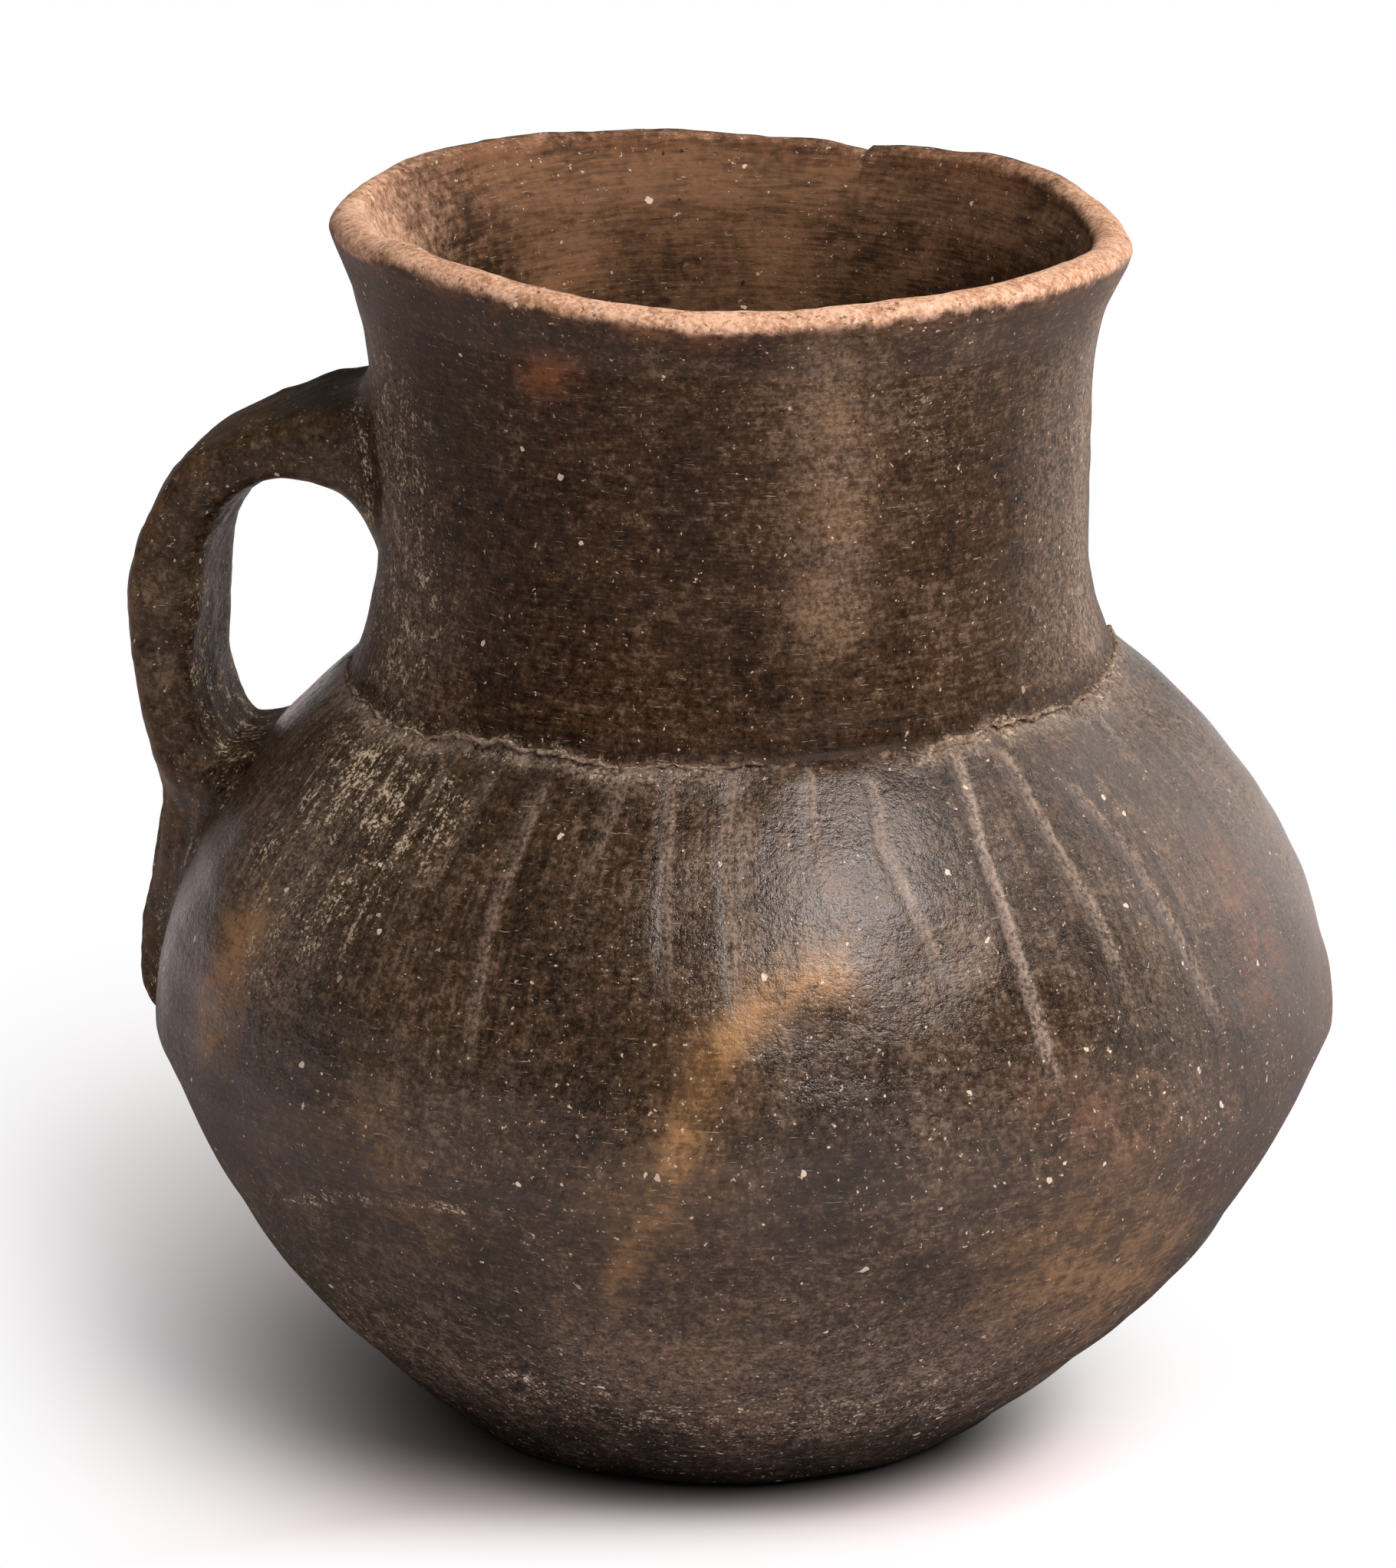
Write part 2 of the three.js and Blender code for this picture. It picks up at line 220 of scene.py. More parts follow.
stretches.append(("floor", spaced(floor_line, FLOOR_ROWS)))

meridian = stretches[0][1]
mark = {"under": (0, len(meridian) - 1)}
for name, line in stretches[1:]:
    mark[name] = (len(meridian) - 1, len(meridian) + len(line) - 2)
    meridian = np.vstack([meridian, line[1:]])
print("rows along the wall line:", len(meridian))

# %% [markdown]
# ## What the hand left out of true
#
# The belly drifts to one side, and the seam and the lip lean a little. The frame's solids have
# these leans, so the finer surface needs the very same ones, or its rings would stand off them.

# %% hand shaping
BELLY_DRIFT = 1.3
SEAM_TILT = 2.0
SEAM_TILT_AZIMUTH = 318
LIP_TILT = 1.6
LIP_TILT_AZIMUTH = 202
LIP_WAVE = 0.6
LIP_WAVE_COUNT = 4
LIP_WAVE_AZIMUTH = 32


def direction(azimuth):
    """The level unit vector at an azimuth in degrees, counted from +X to +Y."""
    return np.array([math.cos(math.radians(azimuth)), math.sin(math.radians(azimuth))])


SEAM_LEAN = direction(SEAM_TILT_AZIMUTH) * SEAM_TILT / SEAM_RADIUS
LIP_LEAN = direction(LIP_TILT_AZIMUTH) * LIP_TILT / LIP_RADIUS
print("the lip leans", round(math.degrees(LIP_TILT / LIP_RADIUS), 2), "degrees")

# %% easing, and the hand's leans


def share(value, low, high):
    """How far a value is from low to high, held between 0 and 1."""
    return np.clip((value - low) / (high - low), 0, 1)


def smooth(value, low, high):
    """As share, but easing in and out: 3 t squared minus 2 t cubed."""
    t = share(value, low, high)
    return t * t * (3 - 2 * t)


def mix_of(a, b, t):
    """The value a share t of the way from a to b."""
    return a + (b - a) * t


def leaning(x, y, z):
    """How far the hand shaping shifts a point in x, and how far it lifts it."""
    drift = BELLY_DRIFT * np.sin(math.pi * share(z, 0, SEAM_HEIGHT))
    rising = share(z, BELLY_HEIGHT, SEAM_HEIGHT)
    upper = share(z, SEAM_HEIGHT, COLLAR_TOP_HEIGHT)
    lift = rising * (1 - upper) * (SEAM_LEAN[0] * x + SEAM_LEAN[1] * y)
    lift = lift + upper * (LIP_LEAN[0] * x + LIP_LEAN[1] * y)
    turn = LIP_WAVE_COUNT * (np.arctan2(y, x) - math.radians(LIP_WAVE_AZIMUTH))
    return drift, lift + LIP_WAVE * smooth(z, COLLAR_TOP_HEIGHT, LIP_HEIGHT) * np.cos(turn)


def turned(radius, height, azimuth):
    """Points at these radii, heights and azimuths in radians, with the hand's leans.

    x = radius cos(azimuth) + drift, y = radius sin(azimuth), z = height + lift."""
    x = radius * np.cos(azimuth)
    y = radius * np.sin(azimuth)
    drift, lift = leaning(x, y, height)
    return np.stack([x + drift, y, height + lift], axis=-1)


# %% the grid
AROUND = 900
azimuth = np.linspace(0, 2 * math.pi, AROUND, endpoint=False)[None, :]
degrees = np.degrees(azimuth) + np.zeros((len(meridian), 1))
line_radius = meridian[:, :1]
line_height = meridian[:, 1:]
plain = turned(line_radius, line_height, azimuth)
level = plain[..., 2]
print("grid:", plain.shape[0], "rows by", plain.shape[1], "columns")

# %% [markdown]
# ## Marks on the surface
#
# The photographed jug carries strokes drawn down the shoulder while the clay was soft, clouds
# of tan where the flame reached it, chips and dents. They could be painted pictures, but worked
# out as distances they stay sharp at any size. A mark is a short line of (azimuth, height)
# points, and what it does fades with the distance from that line.

# %% which rows are outside
row = np.arange(len(meridian))[:, None]
crest_row = mark["crest"][0] + CREST_ROWS // 2
outside = ((row > mark["foot"][0]) & (row <= mark["lip"][1])).astype(float)
inside = ((row > crest_row) & (row <= mark["floor"][1])).astype(float)
print("outside rows:", int(outside.sum()), "inside rows:", int(inside.sum()))

# %% distance from a drawn line
FAR_AWAY = 1000.0
TINY = 1e-9


def turn_from(start, azimuths):
    """The turn from a starting azimuth in degrees, the short way round."""
    return (azimuths - start + 180) % 360 - 180


def apart(points, rows=slice(None)):
    """The distance in millimetres from a line of (azimuth, height) points, measured on the wall."""
    height = level[rows]
    reach = line_radius[rows]
    nearest = np.full(height.shape, FAR_AWAY)
    ends = points if len(points) > 1 else points * 2
    for (turn_a, high_a), (turn_b, high_b) in zip(ends[:-1], ends[1:]):
        px = np.radians(turn_from(turn_a, degrees[rows])) * reach
        py = height - high_a
        sx = math.radians(turn_from(turn_a, turn_b)) * reach
        sy = high_b - high_a
        t = np.clip((px * sx + py * sy) / (sx * sx + sy * sy + TINY), 0, 1)
        nearest = np.minimum(nearest, np.hypot(px - t * sx, py - t * sy))
    return nearest


def faded(distance, width):
    """1 on the line, falling off as a bell curve: e to the power -(distance / width)^2."""
    return np.exp(-((distance / width) ** 2))


def strongest(*layers):
    """The greatest of several layers at each point."""
    total = layers[0]
    for layer in layers[1:]:
        total = np.maximum(total, layer)
    return total


def gathered(marks):
    """The strongest of several (strength, half width, line) marks at each point."""
    return strongest(*[strength * faded(apart(points), width) for strength, width, points in marks])


# %% unevenness
WAVES = 20
WAVE_SPREAD = (0.7, 1.5)


def uneven(place, length, seed):
    """Soft swells about 0 with a spread of 1: the sum of seeded plane waves near this length."""
    draw = np.random.default_rng(seed)
    ways = draw.normal(size=(WAVES, 3))
    ways /= np.linalg.norm(ways, axis=1, keepdims=True)
    ways *= 2 * math.pi / (length * draw.uniform(*WAVE_SPREAD, (WAVES, 1)))
    starts = draw.uniform(0, 2 * math.pi, WAVES)
    total = np.zeros(place.shape[:-1])
    for way, start in zip(ways, starts):
        total += np.sin(place @ way + start)
    return total / math.sqrt(WAVES / 2)


def swelling(place, parts):
    """The sum of several unevennesses, each a (height, length, seed)."""
    return sum(height * uneven(place, length, seed) for height, length, seed in parts)


# %% [markdown]
# ## The strokes
#
# Someone dragged a blunt tool down the shoulder, again and again, a finger's width apart. Each
# stroke is a shallow groove, deepest where it starts under the seam, and it trails off. On the
# side that nobody photographed they go on in the same rhythm, drawn by a seeded loop.

# %% the strokes, as lines of (azimuth, height)
STROKES = [
    (0.5, [(235.6, 104.6), (234.0, 92.6)]),
    (0.6, [(242.9, 101.7), (242.1, 94.0)]),
    (0.7, [(243.7, 102.8), (242.5, 88.0), (243.1, 70.0)]),
    (0.6, [(254.9, 104.7), (251.9, 91.8)]),
    (0.9, [(261.6, 105.8), (261.7, 98.0), (262.6, 81.0)]),
    (1.0, [(270.0, 106.0), (268.9, 100.0), (269.2, 86.0), (270.6, 78.0)]),
    (0.6, [(271.5, 106.0), (270.7, 86.5)]),
    (0.8, [(280.6, 105.9), (278.2, 93.9)]),
    (1.0, [(288.6, 104.0), (287.6, 98.0), (289.4, 91.5), (292.0, 80.0)]),
    (1.3, [(302.3, 105.4), (300.0, 97.0), (300.1, 82.0), (301.7, 65.7)]),
    (1.0, [(310.2, 105.0), (309.6, 99.0), (311.6, 86.0), (312.0, 75.8)]),
    (0.9, [(317.4, 100.6), (320.5, 91.7), (321.6, 83.0), (325.1, 65.6)]),
    (0.7, [(332.2, 104.7), (331.6, 95.3)]),
    (0.4, [(227.0, 104.0), (225.6, 88.0)]),
    (0.4, [(217.5, 104.0), (216.8, 86.0)]),
    (0.35, [(208.0, 103.0), (208.8, 90.0)]),
]
STROKE_TOP = 105.0
UNSEEN_START = 341.0
UNSEEN_END = 512.0
UNSEEN_GAP = 9.4
UNSEEN_FOOT = (68, 96)
UNSEEN_BEND = 1.6
UNSEEN_STRENGTH = (0.4, 1.0)
draw = np.random.default_rng(11)
for turn in np.arange(UNSEEN_START, UNSEEN_END, UNSEEN_GAP):
    foot = draw.uniform(*UNSEEN_FOOT)
    bend = draw.uniform(-UNSEEN_BEND, UNSEEN_BEND, 2)
    strength = draw.uniform(*UNSEEN_STRENGTH)
    halfway = (turn + bend[0], (STROKE_TOP + foot) / 2)
    STROKES.append((strength, [(turn, STROKE_TOP), halfway, (turn + bend[1], foot)]))
print("strokes:", len(STROKES))

# %% the strokes on the grid
STROKE_WIDTH = 0.9
STROKE_EDGE = 0.4
STROKE_FADE = 9.0
EDGE_TURN = 0.75
ROWS_ABOVE_SEAM = 6
# Beside each stroke a painted shade runs down its left edge and a painted highlight down its right edge:
# the shade and light that the groove's walls would take from light on the right.
stroke = np.zeros(level.shape)
stroke_shade_edge = np.zeros(level.shape)
stroke_highlight_edge = np.zeros(level.shape)
shoulder_rows = slice(mark["shoulder"][0], mark["collar"][0] + ROWS_ABOVE_SEAM)
layers = [
    (stroke, 0.0, STROKE_WIDTH),
    (stroke_shade_edge, -EDGE_TURN, STROKE_EDGE),
    (stroke_highlight_edge, EDGE_TURN, STROKE_EDGE),
]
for strength, points in STROKES:
    low_end = points[-1][1]
    fade = strength * smooth(level[shoulder_rows], low_end - 1, low_end + STROKE_FADE)
    for layer, shift, reach in layers:
        moved = [(turn + shift, height) for turn, height in points]
        mark_here = fade * faded(apart(moved, shoulder_rows), reach)
        layer[shoulder_rows] = np.maximum(layer[shoulder_rows], mark_here)
stroke *= outside
print("deepest stroke:", round(float(stroke.max()), 2))

# %% [markdown]
# ## The relief
#
# Real clay is never as even as a lathe makes it. The relief is one number for each grid point,
# the height it stands above the plain line: broad swells from the hands, finer wiping marks,
# the strokes, the ragged step at the seam, and the wear and chips of the lip.

# %% swells and wiping marks, as (height, length, seed)
SWELLS = [(0.34, 52.0, 3), (0.11, 15.0, 4)]
WIPING = [(0.035, 4.0, 5)]
WIPING_STRETCH = np.array([0.12, 0.12, 1.0])
STROKE_DEPTH = 0.13
relief = swelling(plain, SWELLS)
relief += swelling(plain * WIPING_STRETCH, WIPING) * (outside + inside)
relief -= STROKE_DEPTH * stroke
print("swells and strokes:", round(float(relief.min()), 2), "to", round(float(relief.max()), 2), "mm")

# %% the seam's ragged step
SEAM_WANDER = [(0.7, 26.0, 6), (0.25, 5.0, 7)]
SEAM_RAGGED = [(0.35, 7.0, 8)]
LEDGE = 0.26
LEDGE_EVEN = 0.65
LEDGE_DROP = 0.9
LEDGE_WIDTH = 1.5
GROOVE = 0.12
GROOVE_RISE = 1.3
OPEN_GROOVE = 0.5
OPEN_TURN = 286
OPEN_REACH = 14


def level_ring(turns):
    """Points of a level circle as wide as the seam, at azimuths in radians."""
    return np.stack([np.cos(turns), np.sin(turns), 0 * turns], axis=-1) * SEAM_RADIUS


ring = level_ring(azimuth)
column = np.degrees(azimuth)
seam_lift = np.cos(azimuth - math.radians(SEAM_TILT_AZIMUTH)) * SEAM_TILT
from_seam = level - (SEAM_HEIGHT + seam_lift) - swelling(ring, SEAM_WANDER)
ledge = LEDGE * (LEDGE_EVEN + swelling(ring, SEAM_RAGGED))
groove = GROOVE + OPEN_GROOVE * faded(column - OPEN_TURN, OPEN_REACH)
relief += ledge * faded(from_seam + LEDGE_DROP, LEDGE_WIDTH) * outside
relief -= groove * faded(from_seam - GROOVE_RISE, LEDGE_WIDTH) * outside
print("the seam's groove is up to", round(float(groove.max()), 2), "mm deep")

# %% the lip's waves and chip
CREST_WAVES = [(2, 0.10, 40), (3, 0.36, 79), (4, 0.36, 60), (5, 0.12, 31), (6, 0.30, 38)]
CREST_NICKS = [(0.05, 11.0, 21), (0.015, 3.0, 22)]
CREST_GRAIN = [(0.02, 3.4, 23)]
CREST_START = COLLAR_TOP_HEIGHT + 2
CHIP_AZIMUTH = 71.5
CHIP_REACH = 5.2
CHIP_STEP = 3.2
CHIP_EDGE = 0.7
CHIP_DEPTH = 0.8
near_crest = smooth(line_height, CREST_START, LIP_HEIGHT)
crest_lift = swelling(ring, CREST_NICKS)
for count, size, start in CREST_WAVES:
    crest_lift = crest_lift + size * np.cos(count * (azimuth - math.radians(start)))
from_chip = (column - CHIP_AZIMUTH) * math.radians(1) * LIP_RADIUS
chip = share(-from_chip, -CHIP_REACH, CHIP_STEP) * smooth(from_chip, -CHIP_STEP - CHIP_EDGE, -CHIP_STEP)
crest_lift = crest_lift - CHIP_DEPTH * chip
relief += swelling(plain, CREST_GRAIN) * near_crest
print("the lip rises and falls by", round(float(np.ptp(crest_lift)), 2), "mm")

# %% two scars, as (depth, core, reach, spot), and a scratch
SCARS = [(0.55, 1.2, 2.4, (287.0, 161.7)), (0.35, 0.3, 0.9, (352.6, 78.6))]
SCRATCH = [(217.0, 44.4), (220.7, 45.8), (228.0, 49.5), (236.6, 52.1), (243.0, 52.6)]
SCRATCH_DEPTH = 0.12
SCRATCH_WIDTH = 0.5
UNDER_EVENNESS = 0.8
for depth, core, reach, spot in SCARS:
    relief -= depth * smooth(-apart([spot]), -reach, -core) * outside
relief -= SCRATCH_DEPTH * faded(apart(SCRATCH), SCRATCH_WIDTH) * outside
relief *= 1 - (row <= mark["under"][1]) * UNDER_EVENNESS
print("deepest scar:", SCARS[0][0], "mm")

# %% [markdown]
# ## Raising the relief
#
# The relief is added along the line's own outward direction, found from the slope between
# neighbouring rows. All the rings share one grid, so where two rings meet they get the same
# points and the same direction, and the joint stays out of sight.

# %% the finished wall grid
slope = np.gradient(meridian, axis=0)
slope /= np.linalg.norm(slope, axis=1, keepdims=True)
out_r = slope[:, 1:]
out_z = -slope[:, :1]
wall_height = line_height + out_z * relief + crest_lift * near_crest
wall = turned(line_radius + out_r * relief, wall_height, azimuth)
wall[..., 2] = np.maximum(wall[..., 2], 0.0)


def outward(grid, closed=False):
    """Unit normals of a grid that closes on itself sideways: across its columns times along its
    rows. A closed grid comes round to its first row again."""
    sideways = np.roll(grid, -1, axis=1) - np.roll(grid, 1, axis=1)
    if closed:
        along = np.roll(grid, -1, axis=0) - np.roll(grid, 1, axis=0)
    else:
        along = np.gradient(grid, axis=0)
    normal = np.cross(sideways, along)
    return normal / np.linalg.norm(normal, axis=2, keepdims=True)


wall_normal = outward(wall)
print("relief from", round(float(relief.min()), 2), "to", round(float(relief.max()), 2), "mm")

# %% [markdown]
# ## Where the finish changes
#
# Colour on this jug comes from the fire and from wear, and some light and shade is painted in as
# well, so it's worked out in the same way as the relief and stored on the points: three numbers for
# the fire and the darker areas (tan clouds, darker patches, foot and inside, red; on the handle the
# middle number is a painted shade along an edge), three for the wear and painted light (dust with
# painted light in places, bare worn clay with painted light inside the mouth, pale strokes and
# patches with painted highlights), and three for grit and painted shade (flecks, painted shade
# along the strokes and the seam, the inside).
# The materials then break these soft areas up into grain.

# %% fire, and darker areas
FIRE_CLOUDS = [
    (0.9, 2.8, [(281.0, 84.9), (273.8, 83.6), (266.8, 74.5), (264.0, 61.2)]),
    (0.5, 2.8, [(264.0, 61.2), (256.5, 40.1)]),
    (0.22, 7.0, [(266.5, 74.0), (263.5, 61.2), (259.0, 48.0)]),
    (0.22, 7.0, [(230.8, 61.2), (236.0, 50.0)]),
    (0.95, 5.5, [(208.0, 77.0), (207.0, 66.0)]),
    (0.5, 11.0, [(305.0, 41.6), (318.0, 34.0)]),
    (0.2, 10.0, [(257.0, 33.0), (268.0, 27.0)]),
    (0.22, 5.5, [(284.0, 158.6), (286.5, 140.0), (285.5, 125.4)]),
]
DARK_PATCHES = [
    (1.0, 7.0, [(278.7, 58.0), (282.0, 68.0)]),
    (0.7, 4.0, [(256.0, 39.0), (259.0, 39.5)]),
    (0.55, 12.0, [(216.0, 62.0), (226.0, 50.0), (240.0, 36.0)]),
    (0.35, 9.0, [(296.0, 60.0), (312.0, 72.0)]),
    (0.6, 8.0, [(222.0, 60.0), (224.0, 74.0)]),
    (0.6, 9.0, [(262.0, 140.0), (270.0, 122.0)]),
]
# Pale patches. The three at azimuths 332 to 354, down the right edges of the collar and the body, are
# painted light: the pale rim that light from the right gives those edges.
PALE_PATCHES = [
    (0.4, 5.5, [(284.0, 158.6), (286.5, 140.0), (285.5, 125.4)]),
    (0.9, 10.0, [(349.0, 156.0), (347.0, 112.0)]),
    (0.45, 8.0, [(334.0, 150.0), (332.0, 114.0)]),
    (0.45, 12.0, [(353.0, 104.0), (354.0, 62.0)]),
    (0.35, 9.0, [(212.0, 88.0), (216.0, 78.0)]),
    (0.26, 11.0, [(254.0, 29.0), (272.0, 26.0), (300.0, 28.0)]),
    (0.45, 10.0, [(196.0, 150.0), (204.0, 116.0)]),
]
RED_PATCHES = [
    (0.6, 7.0, [(335.0, 82.0), (336.0, 73.0)]),
    (0.35, 7.0, [(303.0, 66.0), (310.0, 60.0)]),
    (0.8, 3.0, [(240.0, 156.5), (244.0, 157.0)]),
    (0.5, 6.0, [(208.0, 70.6)]),
]
FOOT_DARKENING = 0.95
FOOT_DARKENING_FADE = (1.0, 15.0)
INNER_DARKENING = 0.85
INNER_DARKENING_CLOUDS = [(0.35, 22.0, 35)]
INNER_DARKENING_FADE = (-6.0, 13.0)
ember = gathered(FIRE_CLOUDS) * outside
# Darker towards the foot outside, and darker further down inside the collar.
foot_darkening = FOOT_DARKENING * (1 - share(level, *FOOT_DARKENING_FADE)) * (1 - inside)
inner_darkening = np.clip(INNER_DARKENING + swelling(plain, INNER_DARKENING_CLOUDS), 0, 1) * inside
inner_darkening = inner_darkening * share(COLLAR_TOP_HEIGHT - level, *INNER_DARKENING_FADE)
darkening = strongest(gathered(DARK_PATCHES) * outside, foot_darkening, inner_darkening)
rust = gathered(RED_PATCHES) * outside
print("fire clouds:", len(FIRE_CLOUDS), "dark patches:", len(DARK_PATCHES))

# %% the worn lip
INSIDE_PALE_AND_LIGHT = (0.75, 182.0, 30.0)
INSIDE_PALE_AND_LIGHT_FADE = (8.0, 30.0)
TAN_DEPTH = 2.1
TAN_INSIDE = 0.9
TAN_EDGE_WAVES = [(0.35, 20.0, 31), (0.1, 3.0, 32)]
TAN_SOFTNESS = 1.2
TAN_LOWEST = COLLAR_TOP_HEIGHT - 5
FRONT_WORN_LESS = 0.16
FRONT_SIDE = (0.3, 0.95)
FAR_WORN_LESS = 0.78
FAR_SIDE = (0.1, 0.8)
WARM_EDGE = 0.5
WARM_EDGE_WIDTH = 3.5
WARM_EDGE_WAVES = [(0.5, 14.0, 33)]
WARM_INSIDE = 0.7


def about_inside(strength, turn, reach):
    """A mark on the inside, strongest at one azimuth and fading to both sides."""
    return strength * faded(column - turn, reach) * inside


below_crest = wall[crest_row, :, 2][None, :] - wall[..., 2]
tan_edge = np.where(row > crest_row, TAN_INSIDE, TAN_DEPTH) + swelling(ring, TAN_EDGE_WAVES)
worn_and_lit = 1 - smooth(below_crest, tan_edge - TAN_SOFTNESS, tan_edge + TAN_SOFTNESS)
worn_and_lit = worn_and_lit * (1 - FRONT_WORN_LESS * smooth(-np.sin(azimuth), *FRONT_SIDE))
worn_and_lit = worn_and_lit * (1 - FAR_WORN_LESS * smooth(np.sin(azimuth), *FAR_SIDE))
worn_and_lit = np.where(level > TAN_LOWEST, worn_and_lit, 0)
# Inside the mouth at the left the clay is paler, partly pale clay and partly painted light, where the light
# from the right falls on the inner wall.
worn_and_lit = strongest(worn_and_lit, about_inside(*INSIDE_PALE_AND_LIGHT) * (1 - share(below_crest, *INSIDE_PALE_AND_LIGHT_FADE)))
warm_edge = WARM_EDGE * (1 - smooth(below_crest, tan_edge, tan_edge + WARM_EDGE_WIDTH))
warm_edge = np.clip(warm_edge * (1 + swelling(ring, WARM_EDGE_WAVES)), 0, 1)
rust = strongest(rust, warm_edge * (outside + WARM_INSIDE * inside))
print("worn lip covers", round(100 * float(worn_and_lit.mean()), 1), "% of the grid")

# %% dust, pale strokes and painted light
DUST_PATCHES = [
    (0.85, 7.0, [(211.0, 100.0), (220.0, 98.0)]),
    (0.42, 8.0, [(228.0, 97.4), (222.0, 88.0), (214.0, 79.5)]),
    (0.28, 9.0, [(344.0, 152.0), (342.0, 112.0)]),
    (0.6, 14.0, [(202.0, 116.9), (198.0, 140.0)]),
    (0.5, 5.0, [(210.6, 107.0), (206.0, 86.0)]),
    (0.2, 8.0, [(300.0, 151.9), (304.0, 148.0)]),
    (0.3, 9.0, [(240.0, 20.0), (270.0, 18.0), (300.0, 20.0)]),
]
INSIDE_DUST_AND_LIGHT = (0.5, 188.0, 24.0)
SHADED_SEAM_TURN = 283.0
SHADED_SEAM_SPREAD = 15.0
SHADED_SEAM_DEPTH = 0.9
SCRATCH_DUST = (0.55, 0.8)
SEAM_DUST = (0.38, 0.5, 1.8)
SEAM_PALE = (0.75, 0.7, 1.1)
STROKE_DUST = 0.25
STROKE_TONE = 0.55


def seam_dust_outside_shade(turns):
    """How much pale dust the seam holds at azimuths in degrees: less at the front, as painted shade."""
    return 1 - SHADED_SEAM_DEPTH * faded(turns - SHADED_SEAM_TURN, SHADED_SEAM_SPREAD)


def along_seam(strength, drop, width):
    """A mark of this half width that follows the seam, this far below it."""
    return strength * seam_dust_outside_shade(column) * faded(from_seam + drop, width) * outside


# Dust, with painted light in it: along the strokes' right edges, and inside the mouth at the left, where
# light from the right falls on the inner wall, the paler colour is partly dust and partly painted light.
dust_and_light = strongest(
    gathered(DUST_PATCHES) * outside,
    SCRATCH_DUST[0] * faded(apart(SCRATCH), SCRATCH_DUST[1]) * outside,
    about_inside(*INSIDE_DUST_AND_LIGHT),
    along_seam(*SEAM_DUST),
    STROKE_DUST * stroke_highlight_edge * outside,
)
# The pale tone: the strokes, the pale patches and the seam's pale line, with painted highlights along the
# strokes' right edges and down the right edges of the collar and body.
pale_tone_and_highlights = strongest(
    STROKE_TONE * stroke,
    stroke_highlight_edge * outside,
    gathered(PALE_PATCHES) * outside,
    along_seam(*SEAM_PALE),
)
fire_and_shade = np.stack([ember, darkening, rust], axis=-1)
wear_and_light = np.stack([dust_and_light, worn_and_lit, pale_tone_and_highlights], axis=-1)
print("dust up to", round(float(dust_and_light.max()), 2))

# %% grit, and painted shade
FLECK_ALL = 0.35
FLECK_BELLY = [(0.5, 16.0, [(255.0, 66.0), (320.0, 62.0)])]
FLECK_SPOT = [(0.9, 6.0, [(319.9, 65.7)])]
FLECK_LIP = 0.8
FLECK_FOOT = 0.75
FLECK_FOOT_FADE = (20, 55)
SEAM_LINE_SHADE = 0.8
SEAM_LINE_SHADE_RISE = 1.7
SEAM_LINE_SHADE_WIDTH = 1.0
fleck = strongest(
    FLECK_ALL + gathered(FLECK_BELLY),
    gathered(FLECK_SPOT),
    FLECK_LIP * smooth(level, COLLAR_TOP_HEIGHT, LIP_HEIGHT),
    FLECK_FOOT * (1 - share(level, *FLECK_FOOT_FADE)) * (1 - inside),
)
# A painted shade darkens the groove just above the seam, under the collar's foot. It and the painted shade
# along the strokes' left edges make the second number of the grit.
seam_line_shade = SEAM_LINE_SHADE * faded(from_seam - SEAM_LINE_SHADE_RISE, SEAM_LINE_SHADE_WIDTH)
painted_shade = strongest(stroke_shade_edge, seam_line_shade) * outside
grit_and_shade = np.stack([fleck, painted_shade, inside + np.zeros(level.shape)], axis=-1)
print("fleck from", round(float(fleck.min()), 2), "to", round(float(fleck.max()), 2))

# %% [markdown]
# ## From grids to pieces
#
# A mesh is a list of points and a list of faces. Each ring of wall is a slice of the grid: its
# outside rows, then its inside rows, joined into a closed tube. At the middle of the underside
# and of the floor the last row closes on one centre point.

# %% building one piece
INKS = ("fire_and_shade", "wear_and_light", "grit_and_shade")


def grid_faces(rows, columns, closed):
    """Four-cornered faces between neighbouring rows and columns. A closed grid's last row is
    joined to its first."""
    k, j = np.meshgrid(np.arange(rows if closed else rows - 1), np.arange(columns), indexing="ij")
    next_k = (k + 1) % rows
    next_j = (j + 1) % columns
    corners_of = [k * columns + j, k * columns + next_j, next_k * columns + next_j, next_k * columns + j]
    return np.stack(corners_of, axis=-1).reshape(-1, 4)


def fan_faces(first, columns, centre, upwards):
    """Three-cornered faces from one row of points to a centre point."""
    j = np.arange(columns)
    here = first + j
    beside = first + (j + 1) % columns
    middle = np.full(columns, centre)
    return np.stack([here, beside, middle] if upwards else [beside, here, middle], axis=-1)


